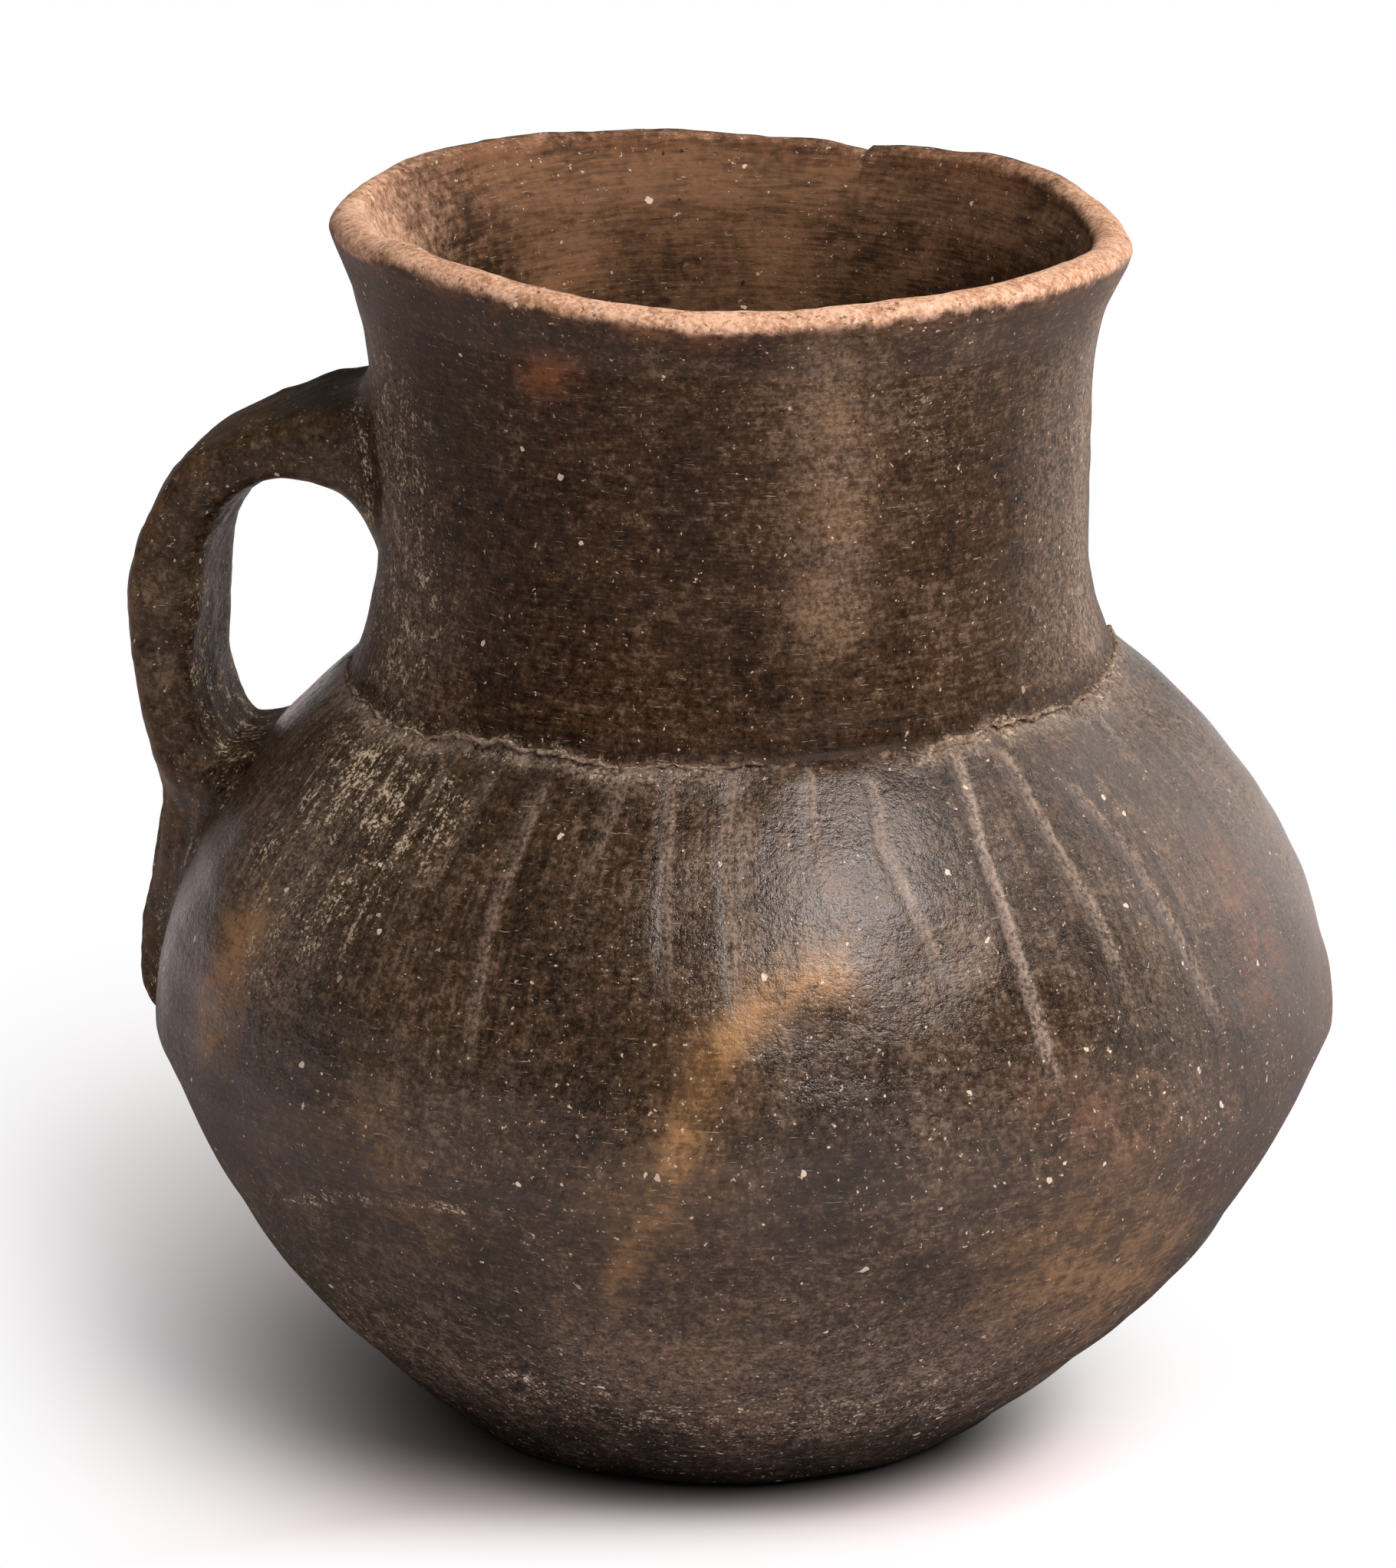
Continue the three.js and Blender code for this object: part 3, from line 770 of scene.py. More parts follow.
def make_piece(node, points, normals, inks, quads, fans, material):
    """Puts points in millimetres and faces into a mesh, with the normals and the three inks."""
    name = node + "_clay"
    corner_count = quads.size + sum(fan.size for fan in fans)
    sizes = np.concatenate([np.full(len(quads), 4)] + [np.full(len(fan), 3) for fan in fans])
    corner_list = np.concatenate([quads.ravel()] + [fan.ravel() for fan in fans])
    mesh = bpy.data.meshes.new(name)
    mesh.vertices.add(len(points))
    mesh.vertices.foreach_set("co", (points * MM).astype(np.float32).ravel())
    mesh.loops.add(corner_count)
    mesh.loops.foreach_set("vertex_index", corner_list.astype(np.int32))
    mesh.polygons.add(len(sizes))
    mesh.polygons.foreach_set("loop_start", np.concatenate([[0], np.cumsum(sizes)[:-1]]).astype(np.int32))
    mesh.update(calc_edges=True)
    mesh.validate()
    mesh.shade_smooth()
    for ink, values in zip(INKS, inks):
        layer = mesh.attributes.new(ink, "FLOAT_VECTOR", "POINT")
        layer.data.foreach_set("vector", values.astype(np.float32).ravel())
    mesh.normals_split_custom_set_from_vertices(normals.tolist())
    mesh.materials.append(material)
    piece = placed(name, mesh)
    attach(piece, "root")
    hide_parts(node)
    print(name, "triangles:", 2 * len(quads) + sum(len(fan) for fan in fans))
    return piece


def capped_piece(node, grids, centres, centre_normals, inwards, material):
    """A piece whose first and last rows are each closed by a fan to a centre point.

    The grids are the points, the normals and the three inks. Inwards says that the grid's
    faces have to be turned over."""
    rows, columns = grids[0].shape[:2]
    points, normals, *inks = [grid.reshape(-1, 3) for grid in grids]
    inks = [np.vstack([ink, grid[[0, -1], 0]]) for ink, grid in zip(inks, grids[2:])]
    quads = grid_faces(rows, columns, closed=False)
    last = rows * columns
    fans = [
        fan_faces(0, columns, last, upwards=inwards),
        fan_faces(last - columns, columns, last + 1, upwards=not inwards),
    ]
    make_piece(
        node, np.vstack([points, centres]), np.vstack([normals, centre_normals]), inks,
        quads[:, ::-1] if inwards else quads, fans, material,
    )


# %% [markdown]
# ## Mixing the clay
#
# Fired clay isn't one colour. Seen close it's a dark ground with paler and darker grains about a
# millimetre wide, over clouds a few centimetres wide, with white grit, pinholes and fine level
# wiping lines. A picture could be wrapped round the jug, but it would blur close up and show a
# seam, so the finish is mixed from noise in the jug's own space. A small class keeps the recipe
# readable: each method adds a node or two and gives back the socket that the next step reads.

# %% colours as the eye names them


def srgb(red, green, blue):
    """A colour given as 0 to 255 on screen, as the linear values that a shader works in."""
    parts = np.array([red, green, blue]) / 255
    linear = np.where(parts <= 0.04045, parts / 12.92, ((parts + 0.055) / 1.055) ** 2.4)
    return (*[float(part) for part in linear], 1.0)


print("middle grey in linear light:", round(srgb(128, 128, 128)[0], 3))

# %% a class for the recipe
EVEN = (1, 1, 1)
WOBBLE = 0.55
WOBBLE_FINENESS = 2.2


class Recipe:
    """A material being mixed."""

    def __init__(self, name):
        self.material = bpy.data.materials.new(name)
        self.material.use_nodes = True
        self.tree = self.material.node_tree
        self.tree.nodes.clear()
        self.place = self.add("ShaderNodeTexCoord").outputs["Object"]
        self.noise = {}

    def add(self, kind, inputs=None, **settings):
        """One node, its settings, and its inputs: a number, a colour or a socket."""
        node = self.tree.nodes.new(kind)
        for key, value in settings.items():
            setattr(node, key, value)
        for key, value in (inputs or {}).items():
            if isinstance(value, bpy.types.NodeSocket):
                self.tree.links.new(value, node.inputs[key])
            else:
                node.inputs[key].default_value = value
        return node

    def ink(self, name):
        """The three numbers of one ink, stored on the points."""
        return self.parts(self.add("ShaderNodeAttribute", attribute_name=name).outputs["Vector"])

    def moved(self, scale=EVEN, shift=0.0, place=None):
        """The place, stretched and shifted."""
        made = {"Vector": place or self.place, "Scale": scale, "Location": (shift,) * 3}
        return self.add("ShaderNodeMapping", made).outputs["Vector"]

    def vector(self, operation, first, second=(0, 0, 0)):
        """Two vectors put together."""
        made = {0: first, 1: second}
        return self.add("ShaderNodeVectorMath", made, operation=operation).outputs["Vector"]

    def length(self, place):
        """How far a place is from the origin."""
        return self.add("ShaderNodeVectorMath", {0: place}, operation="LENGTH").outputs["Value"]

    def parts(self, place):
        """The x, y and z of a place."""
        return self.add("ShaderNodeSeparateXYZ", {"Vector": place}).outputs

    def grain(self, size, detail, rough, stretch=EVEN, shift=0.0, place=None):
        """Cloudy noise about 0.5 whose clouds are about this many millimetres wide."""
        made = {"Vector": self.moved(stretch, shift, place), "Scale": 1 / (size * MM)}
        made.update({"Detail": detail, "Roughness": rough})
        return self.add("ShaderNodeTexNoise", made).outputs["Fac"]

    def cells(self, size, shift=0.0):
        """Scattered, ragged points: the distance to the nearest in cells, and its random numbers."""
        across = size * MM
        made = {"Vector": self.place, "Scale": WOBBLE_FINENESS / across, "Detail": 2.0}
        wobble = self.add("ShaderNodeTexNoise", made).outputs["Color"]
        bent = self.vector("MULTIPLY", wobble, (WOBBLE * across,) * 3)
        whole = self.vector("ADD", self.moved(shift=shift), bent)
        node = self.add("ShaderNodeTexVoronoi", {"Vector": whole, "Scale": 1 / across})
        chance = self.add("ShaderNodeSeparateColor", {"Color": node.outputs["Color"]})
        return node.outputs["Distance"], chance.outputs

    def between(self, value, low, high, start=0.0, end=1.0, smoothly=True):
        """A value rescaled so that low becomes start and high becomes end."""
        kind = "SMOOTHSTEP" if smoothly else "LINEAR"
        made = {"Value": value, "From Min": low, "From Max": high, "To Min": start, "To Max": end}
        return self.add("ShaderNodeMapRange", made, interpolation_type=kind).outputs["Result"]

    def step(self, name, value):
        """A value rescaled between the limits that STEPS gives this mark."""
        return self.between(value, *STEPS[name])

    def maths(self, operation, first, second=0.0):
        """Two numbers put together."""
        return self.add("ShaderNodeMath", {0: first, 1: second}, operation=operation).outputs["Value"]

    def times(self, first, second):
        """The product of two numbers."""
        return self.maths("MULTIPLY", first, second)

    def plus(self, first, second):
        """The sum of two numbers."""
        return self.maths("ADD", first, second)

    def most(self, first, *others):
        """The greatest of several numbers."""
        for other in others:
            first = self.maths("MAXIMUM", first, other)
        return first

    def layered(self, **weights):
        """Several noises added up with these weights, with the mean kept at 0.5."""
        total = (1 - sum(weights.values())) / 2
        for name, weight in weights.items():
            total = self.plus(self.times(self.noise[name], weight), total)
        return total

    def covering(self, name, amount):
        """An amount times what COVER gives this mark."""
        return self.times(amount, COVER[name])

    def painted(self, colour, *coats):
        """A colour with (amount, paint) coats over it, one after the other."""
        for amount, paint in coats:
            made = {0: amount, 6: colour, 7: paint}
            node = self.add("ShaderNodeMix", made, data_type="RGBA", clamp_factor=True)
            colour = node.outputs[2]
        return colour


# %% the clay's colours
BODY = (srgb(24, 16, 8), srgb(58, 43, 29), srgb(99, 83, 67))
NECK = (srgb(24, 14, 6), srgb(56, 39, 24), srgb(93, 77, 61))
STRAP = (srgb(26, 18, 11), srgb(62, 48, 34), srgb(102, 87, 70))
SEAM = (srgb(50, 38, 28), srgb(92, 75, 60), srgb(138, 120, 102))
EMBER = srgb(148, 112, 70)
# The soot colour darkens the darker patches, the foot, the inside and the pits, and it's also the painted
# shade on the table round the foot and along the handle's inner edge.
SOOT_AND_SHADE = srgb(26, 18, 12)
RUST = srgb(118, 74, 46)
DUST_AND_LIGHT = srgb(206, 190, 162)
TAN = srgb(214, 179, 152)
TAN_DARK = srgb(158, 117, 88)
PALE_TONE_AND_HIGHLIGHT = srgb(142, 126, 112)
GRIME_AND_SHADE = srgb(24, 16, 10)
# The grime colour darkens the lip's dark grit, and it's also the painted shade along the strokes and the
# seam.
INSIDE = srgb(120, 90, 66)
INSIDE_DARK = srgb(54, 37, 25)
FLECK = srgb(206, 192, 172)
print("a dark ground in linear light:", [round(part, 3) for part in BODY[0][:3]])

# %% the clay's grain, cover and limits
# Size in millimetres, detail, roughness, stretch and shift of each noise
GRAINS = {
    "clouds": (30, 3, 0.55, EVEN, 0.0),
    "patches": (6.5, 4, 0.65, EVEN, 0.3),
    "grains": (1.5, 4, 0.7, EVEN, 0.5),
    "fine": (0.6, 3, 0.7, EVEN, 1.7),
    "streaks": (4.5, 3, 0.6, (1, 1, 9), 0.7),
    "pale_grit": (1.0, 3, 0.75, EVEN, 2.1),
    "dark_grit": (1.4, 3, 0.75, EVEN, 2.5),
    "powder": (0.6, 3, 0.8, EVEN, 0.2),
    "drifts": (2.6, 3, 0.6, EVEN, 0.6),
    "specks": (0.8, 2, 0.6, EVEN, 0.9),
    "scratches": (2.4, 2, 0.5, (1, 1, 13), 1.1),
    "pinholes": (0.9, 2, 0.6, EVEN, 1.3),
}
# Where each mark starts and is whole, and for some the amounts at those two places
STEPS = {
    "middle": (0.12, 0.56),
    "pale": (0.48, 0.92),
    "broken": (0.25, 0.75),
    "ember": (0.0, 1.0, 0.3, 1.0),
    "rust": (0.0, 1.0, 0.2, 0.9),
    "darkening": (0.0, 1.0, 0.8, 0.5),
    "inside": (0.1, 0.95),
    "tan": (0.2, 0.75),
    "bare_and_lit": (0.4, 1.2),
    "pale_grit": (0.6, 0.68),
    "dark_grit": (0.4, 0.32),
    "powder": (0.68, 0.92),
    "dusty": (0.03, 0.4),
    "sparkle": (0.3, 0.72, 0.2, 1.0),
    "specks": (0.70, 0.78),
    "scratches": (0.68, 0.75),
    "spots": (1.0, 1.05),
    "pits": (0.12, 0.06),
    "pinholes": (0.31, 0.24),
    "shoulder_foot": (0.062, 0.082),
    "shoulder_top": (0.108, 0.100),
    "matt_foot": (0.078, 0.045, 0.0, 0.5),
}
# How far each mark covers what lies under it
COVER = {
    "pale_grit": 0.8, "dark_grit": 0.7, "powder": 0.85, "painted_shade": 0.6, "spots": 0.9,
    "specks": 0.75, "scratches": 0.3, "pits": 0.8, "pinholes": 0.7,
}
DRAWN = (18, 3, 0.6)
DRAWN_RISE = 0.9
SPOT_SPACING = 2.6
SPOT_SIZE = (0.04, 0.19)
SPOTS_BY_FLECK = 0.35
SPECKS_BY_FLECK = 0.06
PIT_SPACING = 2.9
PIT_SHIFT = 0.4
PIT_CHANCE = 0.7
BARE_BY_GRAIN = 0.7
POWDER_BY_DUST = 0.2
ROUGH_LIMITS = (0.2, 0.8)
SMOOTHER = 0.1
ROUGHER = 0.13
MATT_STROKES = 0.5
MATT_ROUGHER = 0.35
LINE_DEPTH = 0.4
PIT_DEPTH = 0.5
FLECK_RISE = 0.12
BUMP_HEIGHT = 0.00045
print("noises:", len(GRAINS), "marks:", len(STEPS))

# %% the marks of the clay


def drawn_streaks(mix, height):
    """Streaks up and down the shoulder, about 0.5: noise on the direction from the axis."""
    around = mix.vector("NORMALIZE", mix.vector("MULTIPLY", mix.place, (1, 1, 0)))
    upward = mix.vector("MULTIPLY", mix.place, (0, 0, DRAWN_RISE))
    drawn = mix.grain(*DRAWN, place=mix.vector("ADD", around, upward))
    on_shoulder = mix.times(mix.step("shoulder_foot", height), mix.step("shoulder_top", height))
    return mix.plus(mix.times(mix.plus(drawn, -0.5), on_shoulder), 0.5)


def white_flecks(mix, fleck_ink):
    """Round spots of grit, fine specks and level scratches."""
    far, chance = mix.cells(SPOT_SPACING)
    size = mix.between(chance[1], 0.0, 1.0, *SPOT_SIZE, smoothly=False)
    chosen = mix.step("spots", mix.plus(chance[0], mix.times(fleck_ink, SPOTS_BY_FLECK)))
    spots = mix.times(mix.maths("LESS_THAN", far, size), chosen)
    specks = mix.plus(mix.noise["specks"], mix.times(fleck_ink, SPECKS_BY_FLECK))
    return mix.most(
        mix.covering("spots", spots),
        mix.covering("specks", mix.step("specks", specks)),
        mix.covering("scratches", mix.step("scratches", mix.noise["scratches"])),
    )


def dark_pits(mix):
    """Round pits in some of the cells, and small ragged pinholes."""
    far, chance = mix.cells(PIT_SPACING, PIT_SHIFT)
    pits = mix.times(mix.step("pits", far), mix.maths("GREATER_THAN", chance[0], PIT_CHANCE))
    return mix.most(pits, mix.covering("pinholes", mix.step("pinholes", mix.noise["pinholes"])))


def bare_tan(mix):
    """The worn clay of the lip, with pale and dark grit in it."""
    pale_grit = mix.step("pale_grit", mix.noise["pale_grit"])
    dark_grit = mix.step("dark_grit", mix.noise["dark_grit"])
    return mix.painted(
        TAN_DARK,
        (mix.step("tan", mix.layered(patches=0.8, grains=0.9, fine=1.3)), TAN),
        (mix.covering("pale_grit", pale_grit), FLECK),
        (mix.covering("dark_grit", dark_grit), GRIME_AND_SHADE),
    )


def fired_clay(name, ground, gloss=0.21, shine=0.46, level_lines=0.4, bumps=0.4):
    """The dark, burnished clay of the whole jug. The inks say where it changes.

    The ground is three colours, dark, middle and pale. Gloss is the roughness where the clay
    was rubbed, shine is how much light the surface throws back, level_lines is how much the
    wiping marks show, and bumps is how deep the fine grain is."""
    dark, middle, pale = ground
    mix = Recipe(name)
    ember_ink, darkening_ink, rust_ink = mix.ink("fire_and_shade")
    dust_and_light_ink, bare_and_lit_ink, pale_and_highlight_ink = mix.ink("wear_and_light")
    fleck_ink, painted_shade_ink, inside_ink = mix.ink("grit_and_shade")
    height = mix.parts(mix.place)["Z"]
    mix.noise = {grain: mix.grain(*values) for grain, values in GRAINS.items()}
    mix.noise["drawn"] = drawn_streaks(mix, height)

    # Two grounds, outside and inside, and what breaks up the soft edges of the inks
    tone = mix.layered(clouds=0.7, patches=0.6, grains=1.2, fine=1.1, streaks=level_lines, drawn=0.9)
    inside_tone = mix.layered(clouds=1.4, patches=0.7, streaks=1.1, grains=0.9)
    inside_colour = mix.painted(INSIDE_DARK, (mix.step("inside", inside_tone), INSIDE))
    broken = mix.step("broken", mix.layered(patches=1.2, grains=0.8, streaks=0.5))
    bare_and_lit = mix.step("bare_and_lit", mix.plus(bare_and_lit_ink, mix.times(mix.noise["grains"], BARE_BY_GRAIN)))
    powder_grain = mix.layered(powder=1.8, drifts=1.0, drawn=0.9)
    powder = mix.step("powder", mix.plus(powder_grain, mix.times(dust_and_light_ink, POWDER_BY_DUST)))
    powder = mix.times(powder, mix.step("dusty", dust_and_light_ink))
    sparkle = mix.step("sparkle", mix.layered(fine=1.6, grains=0.8))
    flecks = white_flecks(mix, fleck_ink)
    pits = dark_pits(mix)
    colour = mix.painted(
        dark,
        (mix.step("middle", tone), middle),
        (mix.step("pale", tone), pale),
        (inside_ink, inside_colour),
        (mix.times(ember_ink, mix.step("ember", broken)), EMBER),
        (mix.times(rust_ink, mix.step("rust", broken)), RUST),
        # Darker patches, the foot and the inside; on the handle, a painted shade along the inner edge.
        (mix.times(darkening_ink, mix.step("darkening", broken)), SOOT_AND_SHADE),
        # Bare worn clay, and a painted-light patch inside the mouth at the left.
        (bare_and_lit, bare_tan(mix)),
        # Dust, with painted light along the strokes' right edges and inside the mouth at the left.
        (mix.covering("powder", powder), DUST_AND_LIGHT),
        # Pale strokes and patches, with painted highlights along the strokes and the right edges.
        (mix.times(pale_and_highlight_ink, sparkle), PALE_TONE_AND_HIGHLIGHT),
        # Painted shade along the strokes' left edges and in the groove above the seam.
        (mix.covering("painted_shade", painted_shade_ink), GRIME_AND_SHADE),
        (flecks, FLECK),
        (mix.covering("pits", pits), SOOT_AND_SHADE),
    )

    # Roughness: matt where the clay is bare, dusty or painted with light, inside, and low on the belly
    rough_tone = mix.layered(patches=0.7, grains=1.1, fine=1.3)
    rough = mix.between(rough_tone, *ROUGH_LIMITS, gloss - SMOOTHER, gloss + ROUGHER)
    matt = mix.most(bare_and_lit_ink, powder, inside_ink, mix.times(pale_and_highlight_ink, MATT_STROKES))
    rough = mix.plus(rough, mix.times(matt, MATT_ROUGHER))
    rough = mix.plus(rough, mix.step("matt_foot", height))

    lines = LINE_DEPTH * level_lines
    bumpy = mix.layered(patches=0.2, grains=1.1, fine=0.5, streaks=lines, drawn=0.3)
    bumpy = mix.maths("SUBTRACT", bumpy, mix.times(pits, PIT_DEPTH))
    bumpy = mix.plus(bumpy, mix.times(flecks, FLECK_RISE))
    made = {"Height": bumpy, "Strength": bumps, "Distance": BUMP_HEIGHT}
    normal = mix.add("ShaderNodeBump", made).outputs["Normal"]
    made = {"Base Color": colour, "Roughness": rough, "Normal": normal, "Specular IOR Level": shine}
    shader = mix.add("ShaderNodeBsdfPrincipled", made)
    mix.add("ShaderNodeOutputMaterial", {"Surface": shader.outputs["BSDF"]})
    return mix.material


dark_clay = fired_clay("dark_clay", BODY)
neck_clay = fired_clay("neck_clay", NECK, gloss=0.42, shine=0.09, level_lines=0.75)
lip_clay = fired_clay("worn_lip_clay", NECK, gloss=0.55, shine=0.2, level_lines=0.5, bumps=0.25)
handle_clay = fired_clay("handle_clay", STRAP, gloss=0.45, shine=0.16, level_lines=0.0)
seam_clay = fired_clay("seam_clay", SEAM, gloss=0.7, shine=0.2)
print("clay nodes:", len(dark_clay.node_tree.nodes))

# %% [markdown]
# ## The rings of the wall
#
# Five slices of the one grid: the pad, the two rings of the body, the collar and the lip.

# %% slices
WALL_LAYERS = (wall, wall_normal, fire_and_shade, wear_and_light, grit_and_shade)


def rows_of(name):
    """The row numbers of one stretch, both ends included."""
    first, last = mark[name]
    return np.arange(first, last + 1)


def ring_piece(node, rows, material):
    """A closed ring of wall made of these rows of the grid."""
    points, normals, *inks = [layer[rows].reshape(-1, 3) for layer in WALL_LAYERS]
    quads = grid_faces(len(rows), AROUND, closed=True)
    return make_piece(node, points, normals, inks, quads, [], material)


def both_sides(name):
    """The outside rows of one ring of wall, then its inside rows."""
    return np.concatenate([rows_of(name), rows_of("inner " + name)])


ring_piece("lower_wall", both_sides("lower"), dark_clay)
ring_piece("shoulder_wall", both_sides("shoulder"), dark_clay)
ring_piece("collar", both_sides("collar"), neck_clay)
lip_rows = np.arange(mark["lip"][0], mark["inner lip"][1] + 1)
ring_piece("lip", lip_rows, lip_clay)

# %% the pad, with its two centres closed
under_rows = np.arange(0, mark["pad"][1] + 1)
pad_rows = np.concatenate([under_rows, rows_of("floor")])
centres = np.array([[0.0, 0.0, 0.0], [0.0, 0.0, FLOOR_THICKNESS]])
pad_grids = [layer[pad_rows] for layer in WALL_LAYERS]
capped_piece("base_pad", pad_grids, centres, [[0, 0, -1], [0, 0, 1]], False, dark_clay)

# %% [markdown]
# ## The coil at the seam
#
# A thin roll of clay was pressed into the corner under the collar, and it has worn pale. It's a
# tube carried round a circle: at each step the circle's centre wanders with the seam, and the
# tube's radius swells and shrinks, so that it shows as a ragged line and not as a wire.

# %% seam coil
COIL_STEPS = 1500
COIL_SIDES = 12
COIL_RADIUS = 0.62
COIL_EVEN = 0.8
COIL_ROUGH = [(0.25, 8.0, 41), (0.22, 1.8, 42)]
COIL_LIMITS = (0.15, 1.5)
COIL_GRAIN = [(0.08, 1.5, 43)]
COIL_FLATNESS = 0.8
COIL_SUNK = 0.35
COIL_FRONT = 290.0
COIL_SPREAD = 62.0
COIL_BEHIND = 0.25
COIL_DUST = 0.55
COIL_PALE = 1.4
COIL_FLECK = 0.3
coil_turn = np.linspace(0, 2 * math.pi, COIL_STEPS, endpoint=False)
coil_ring = level_ring(coil_turn)
coil_wander = swelling(coil_ring, SEAM_WANDER)[:, None]
coil_show = faded(turn_from(COIL_FRONT, np.degrees(coil_turn)), COIL_SPREAD)
coil_rough = np.clip(COIL_EVEN + swelling(coil_ring, COIL_ROUGH), *COIL_LIMITS)
coil_thick = (COIL_RADIUS * coil_rough * mix_of(COIL_BEHIND, 1, coil_show))[:, None]
coil_sunk = (COIL_SUNK * (2 - coil_show) / 2)[:, None]
side_turn = np.linspace(0, 2 * math.pi, COIL_SIDES, endpoint=False)
coil_r = SEAM_RADIUS - coil_sunk + coil_thick * np.cos(side_turn)
coil_z = SEAM_HEIGHT + coil_wander + coil_thick * COIL_FLATNESS * np.sin(side_turn)
coil_grid = turned(coil_r, coil_z, coil_turn[:, None])
coil_grid = coil_grid + swelling(coil_grid, COIL_GRAIN)[..., None]
coil_normal = -outward(coil_grid, closed=True)
coil_quads = grid_faces(COIL_STEPS, COIL_SIDES, closed=True)[:, ::-1]
still = np.zeros((COIL_STEPS * COIL_SIDES, 3))
# The coil's pale dust is also left out at the front, as painted shade.
coil_dust = np.repeat(COIL_DUST * seam_dust_outside_shade(np.degrees(coil_turn)), COIL_SIDES)[:, None]
coil_wear = coil_dust * np.array([1.0, 0.0, COIL_PALE])
coil_grit = still + np.array([COIL_FLECK, 0.0, 0.0])
print("the coil is up to", round(2 * float(coil_thick.max()), 2), "mm thick")
make_piece(
    "seam_coil", coil_grid.reshape(-1, 3), coil_normal.reshape(-1, 3), [still, coil_wear, coil_grit],
    coil_quads, [], seam_clay,
)

# %% [markdown]
# ## The strap handle
#
# The handle is a strap of clay bent through an arch. Its shape is a rounded rectangle carried
# along a path, and the path is kept as stations: an outer point, an inner point and a width at
# each. A smooth line through the stations gives all the steps in between. Near the wall the
# clay was smeared out with a thumb, so the strap's surface spreads into a skirt there.

# %% the stations, in the handle's own upright plane
HANDLE_AZIMUTH = 168
STRAP_WIDTH = 23.0
STRAP_THICKNESS = 10.2
STRAP_OVERHANG = 2.5
ROOT_WIDTH = 27.0
ROOT_NARROWING = 0.4
ROOT_FILLET = 2.2
ROOT_SHARES = (0.1, 0.5)
ROOT_CEILING = 2.5
FORK_WIDTH = 25.0
TOP_HEIGHT = SEAM_HEIGHT + 35.5
LOOP_TOP_HEIGHT = TOP_HEIGHT - 13.0
REACH_HEIGHT = SEAM_HEIGHT + 4.3
LOOP_BOTTOM_HEIGHT = SEAM_HEIGHT - 16.4
LOOP_BOTTOM_BITE = 0.3
TAIL_WAIST_HEIGHT = SEAM_HEIGHT - 20.6
TAIL_WAIST_PROUD = 7.6
TAIL_THICKNESS = 2.9
TAIL_END_HEIGHT = BELLY_HEIGHT - 7.5
TAIL_END_WIDTH = 12.0
WALL_BITE = 3.4
ARCH_FULLNESS = 0.89
ARCH_START = 0.23
CEILING_START = 0.48
LEG_EASING = 1.4
TAIL_EASING = 5
ARCH_SAG = (1.2, 1.4, 1.0, 0.4, 0.0, 0.0)
CEILING_LIFT = 1.0
LEG_BULGE = 1.6
ARCH_SHARES = (0, 0.2, 0.4, 0.6, 0.8, 1)
LEG_SHARES = (0.25, 0.5, 0.75, 1)
TAIL_SHARES = (0.88, 0.72, 0.54, 0.36, 0.18, 0.06)

outside_line = meridian[mark["foot"][1]:mark["lip"][1] + 1]


def wall_at(height):
    """The outside radius of the plain wall at these heights."""
    return np.interp(height, outside_line[:, 1], outside_line[:, 0])


def on_wall(height, proud):
    """The point this far outside the wall at a height."""
    return (float(wall_at(height)) + proud, height)


reach_outer = (BELLY_RADIUS + STRAP_OVERHANG, REACH_HEIGHT)
reach_inner = (reach_outer[0] - STRAP_THICKNESS, REACH_HEIGHT)
ceiling_centre = mix_of(WAIST_RADIUS, reach_inner[0], CEILING_START)
tail_waist = on_wall(TAIL_WAIST_HEIGHT, TAIL_WAIST_PROUD)
loop_bottom = on_wall(LOOP_BOTTOM_HEIGHT, -LOOP_BOTTOM_BITE)


def quarter(centre, height, reach, turn, fullness=1.0):
    """A quarter turn from above or below a centre, at turn 0, out to the reach, at turn 1."""
    across = math.sin(turn * math.pi / 2) ** fullness
    rise = max(math.cos(turn * math.pi / 2), 0.0) ** fullness
    return (mix_of(centre, reach[0], across), mix_of(reach[1], height, rise))


def arch_outer(turn):
    """The arch's outer line, from the collar at 0 to the reach at 1."""
    return quarter(WAIST_RADIUS, TOP_HEIGHT, reach_outer, turn, ARCH_FULLNESS)


def arch(t):
    """A station of the arch."""
    inner = quarter(ceiling_centre, LOOP_TOP_HEIGHT + CEILING_LIFT, reach_inner, t)
    outer = arch_outer(mix_of(ARCH_START, 1, t))
    sag = np.interp(t, np.linspace(0, 1, len(ARCH_SAG)), ARCH_SAG)
    return (outer[0], outer[1] - sag, *inner, STRAP_WIDTH)


def leg(t):
    """A station of the leg, from the reach down to the tail's waist."""
    outer = (mix_of(reach_outer[0], tail_waist[0], t**LEG_EASING), mix_of(reach_outer[1], tail_waist[1], t))
    inner = quarter(loop_bottom[0], LOOP_BOTTOM_HEIGHT, reach_inner, 1 - t)
    bulge = LEG_BULGE * math.sin(math.pi * t) * (1 - t)
    return (*outer, inner[0] + bulge, inner[1], mix_of(STRAP_WIDTH, FORK_WIDTH, t**2))


def smear(t):
    """A station of the tail, from its end up to its waist."""
    height = mix_of(TAIL_END_HEIGHT, TAIL_WAIST_HEIGHT, t)
    proud = mix_of(TAIL_THICKNESS, TAIL_WAIST_PROUD, t**TAIL_EASING)
    return (*on_wall(height, proud), *on_wall(height, -WALL_BITE), mix_of(TAIL_END_WIDTH, FORK_WIDTH, t))


def under_root(fillets, proud):
    """A point under the root, a number of fillets below the loop's ceiling."""
    return on_wall(LOOP_TOP_HEIGHT - fillets * ROOT_FILLET, proud)


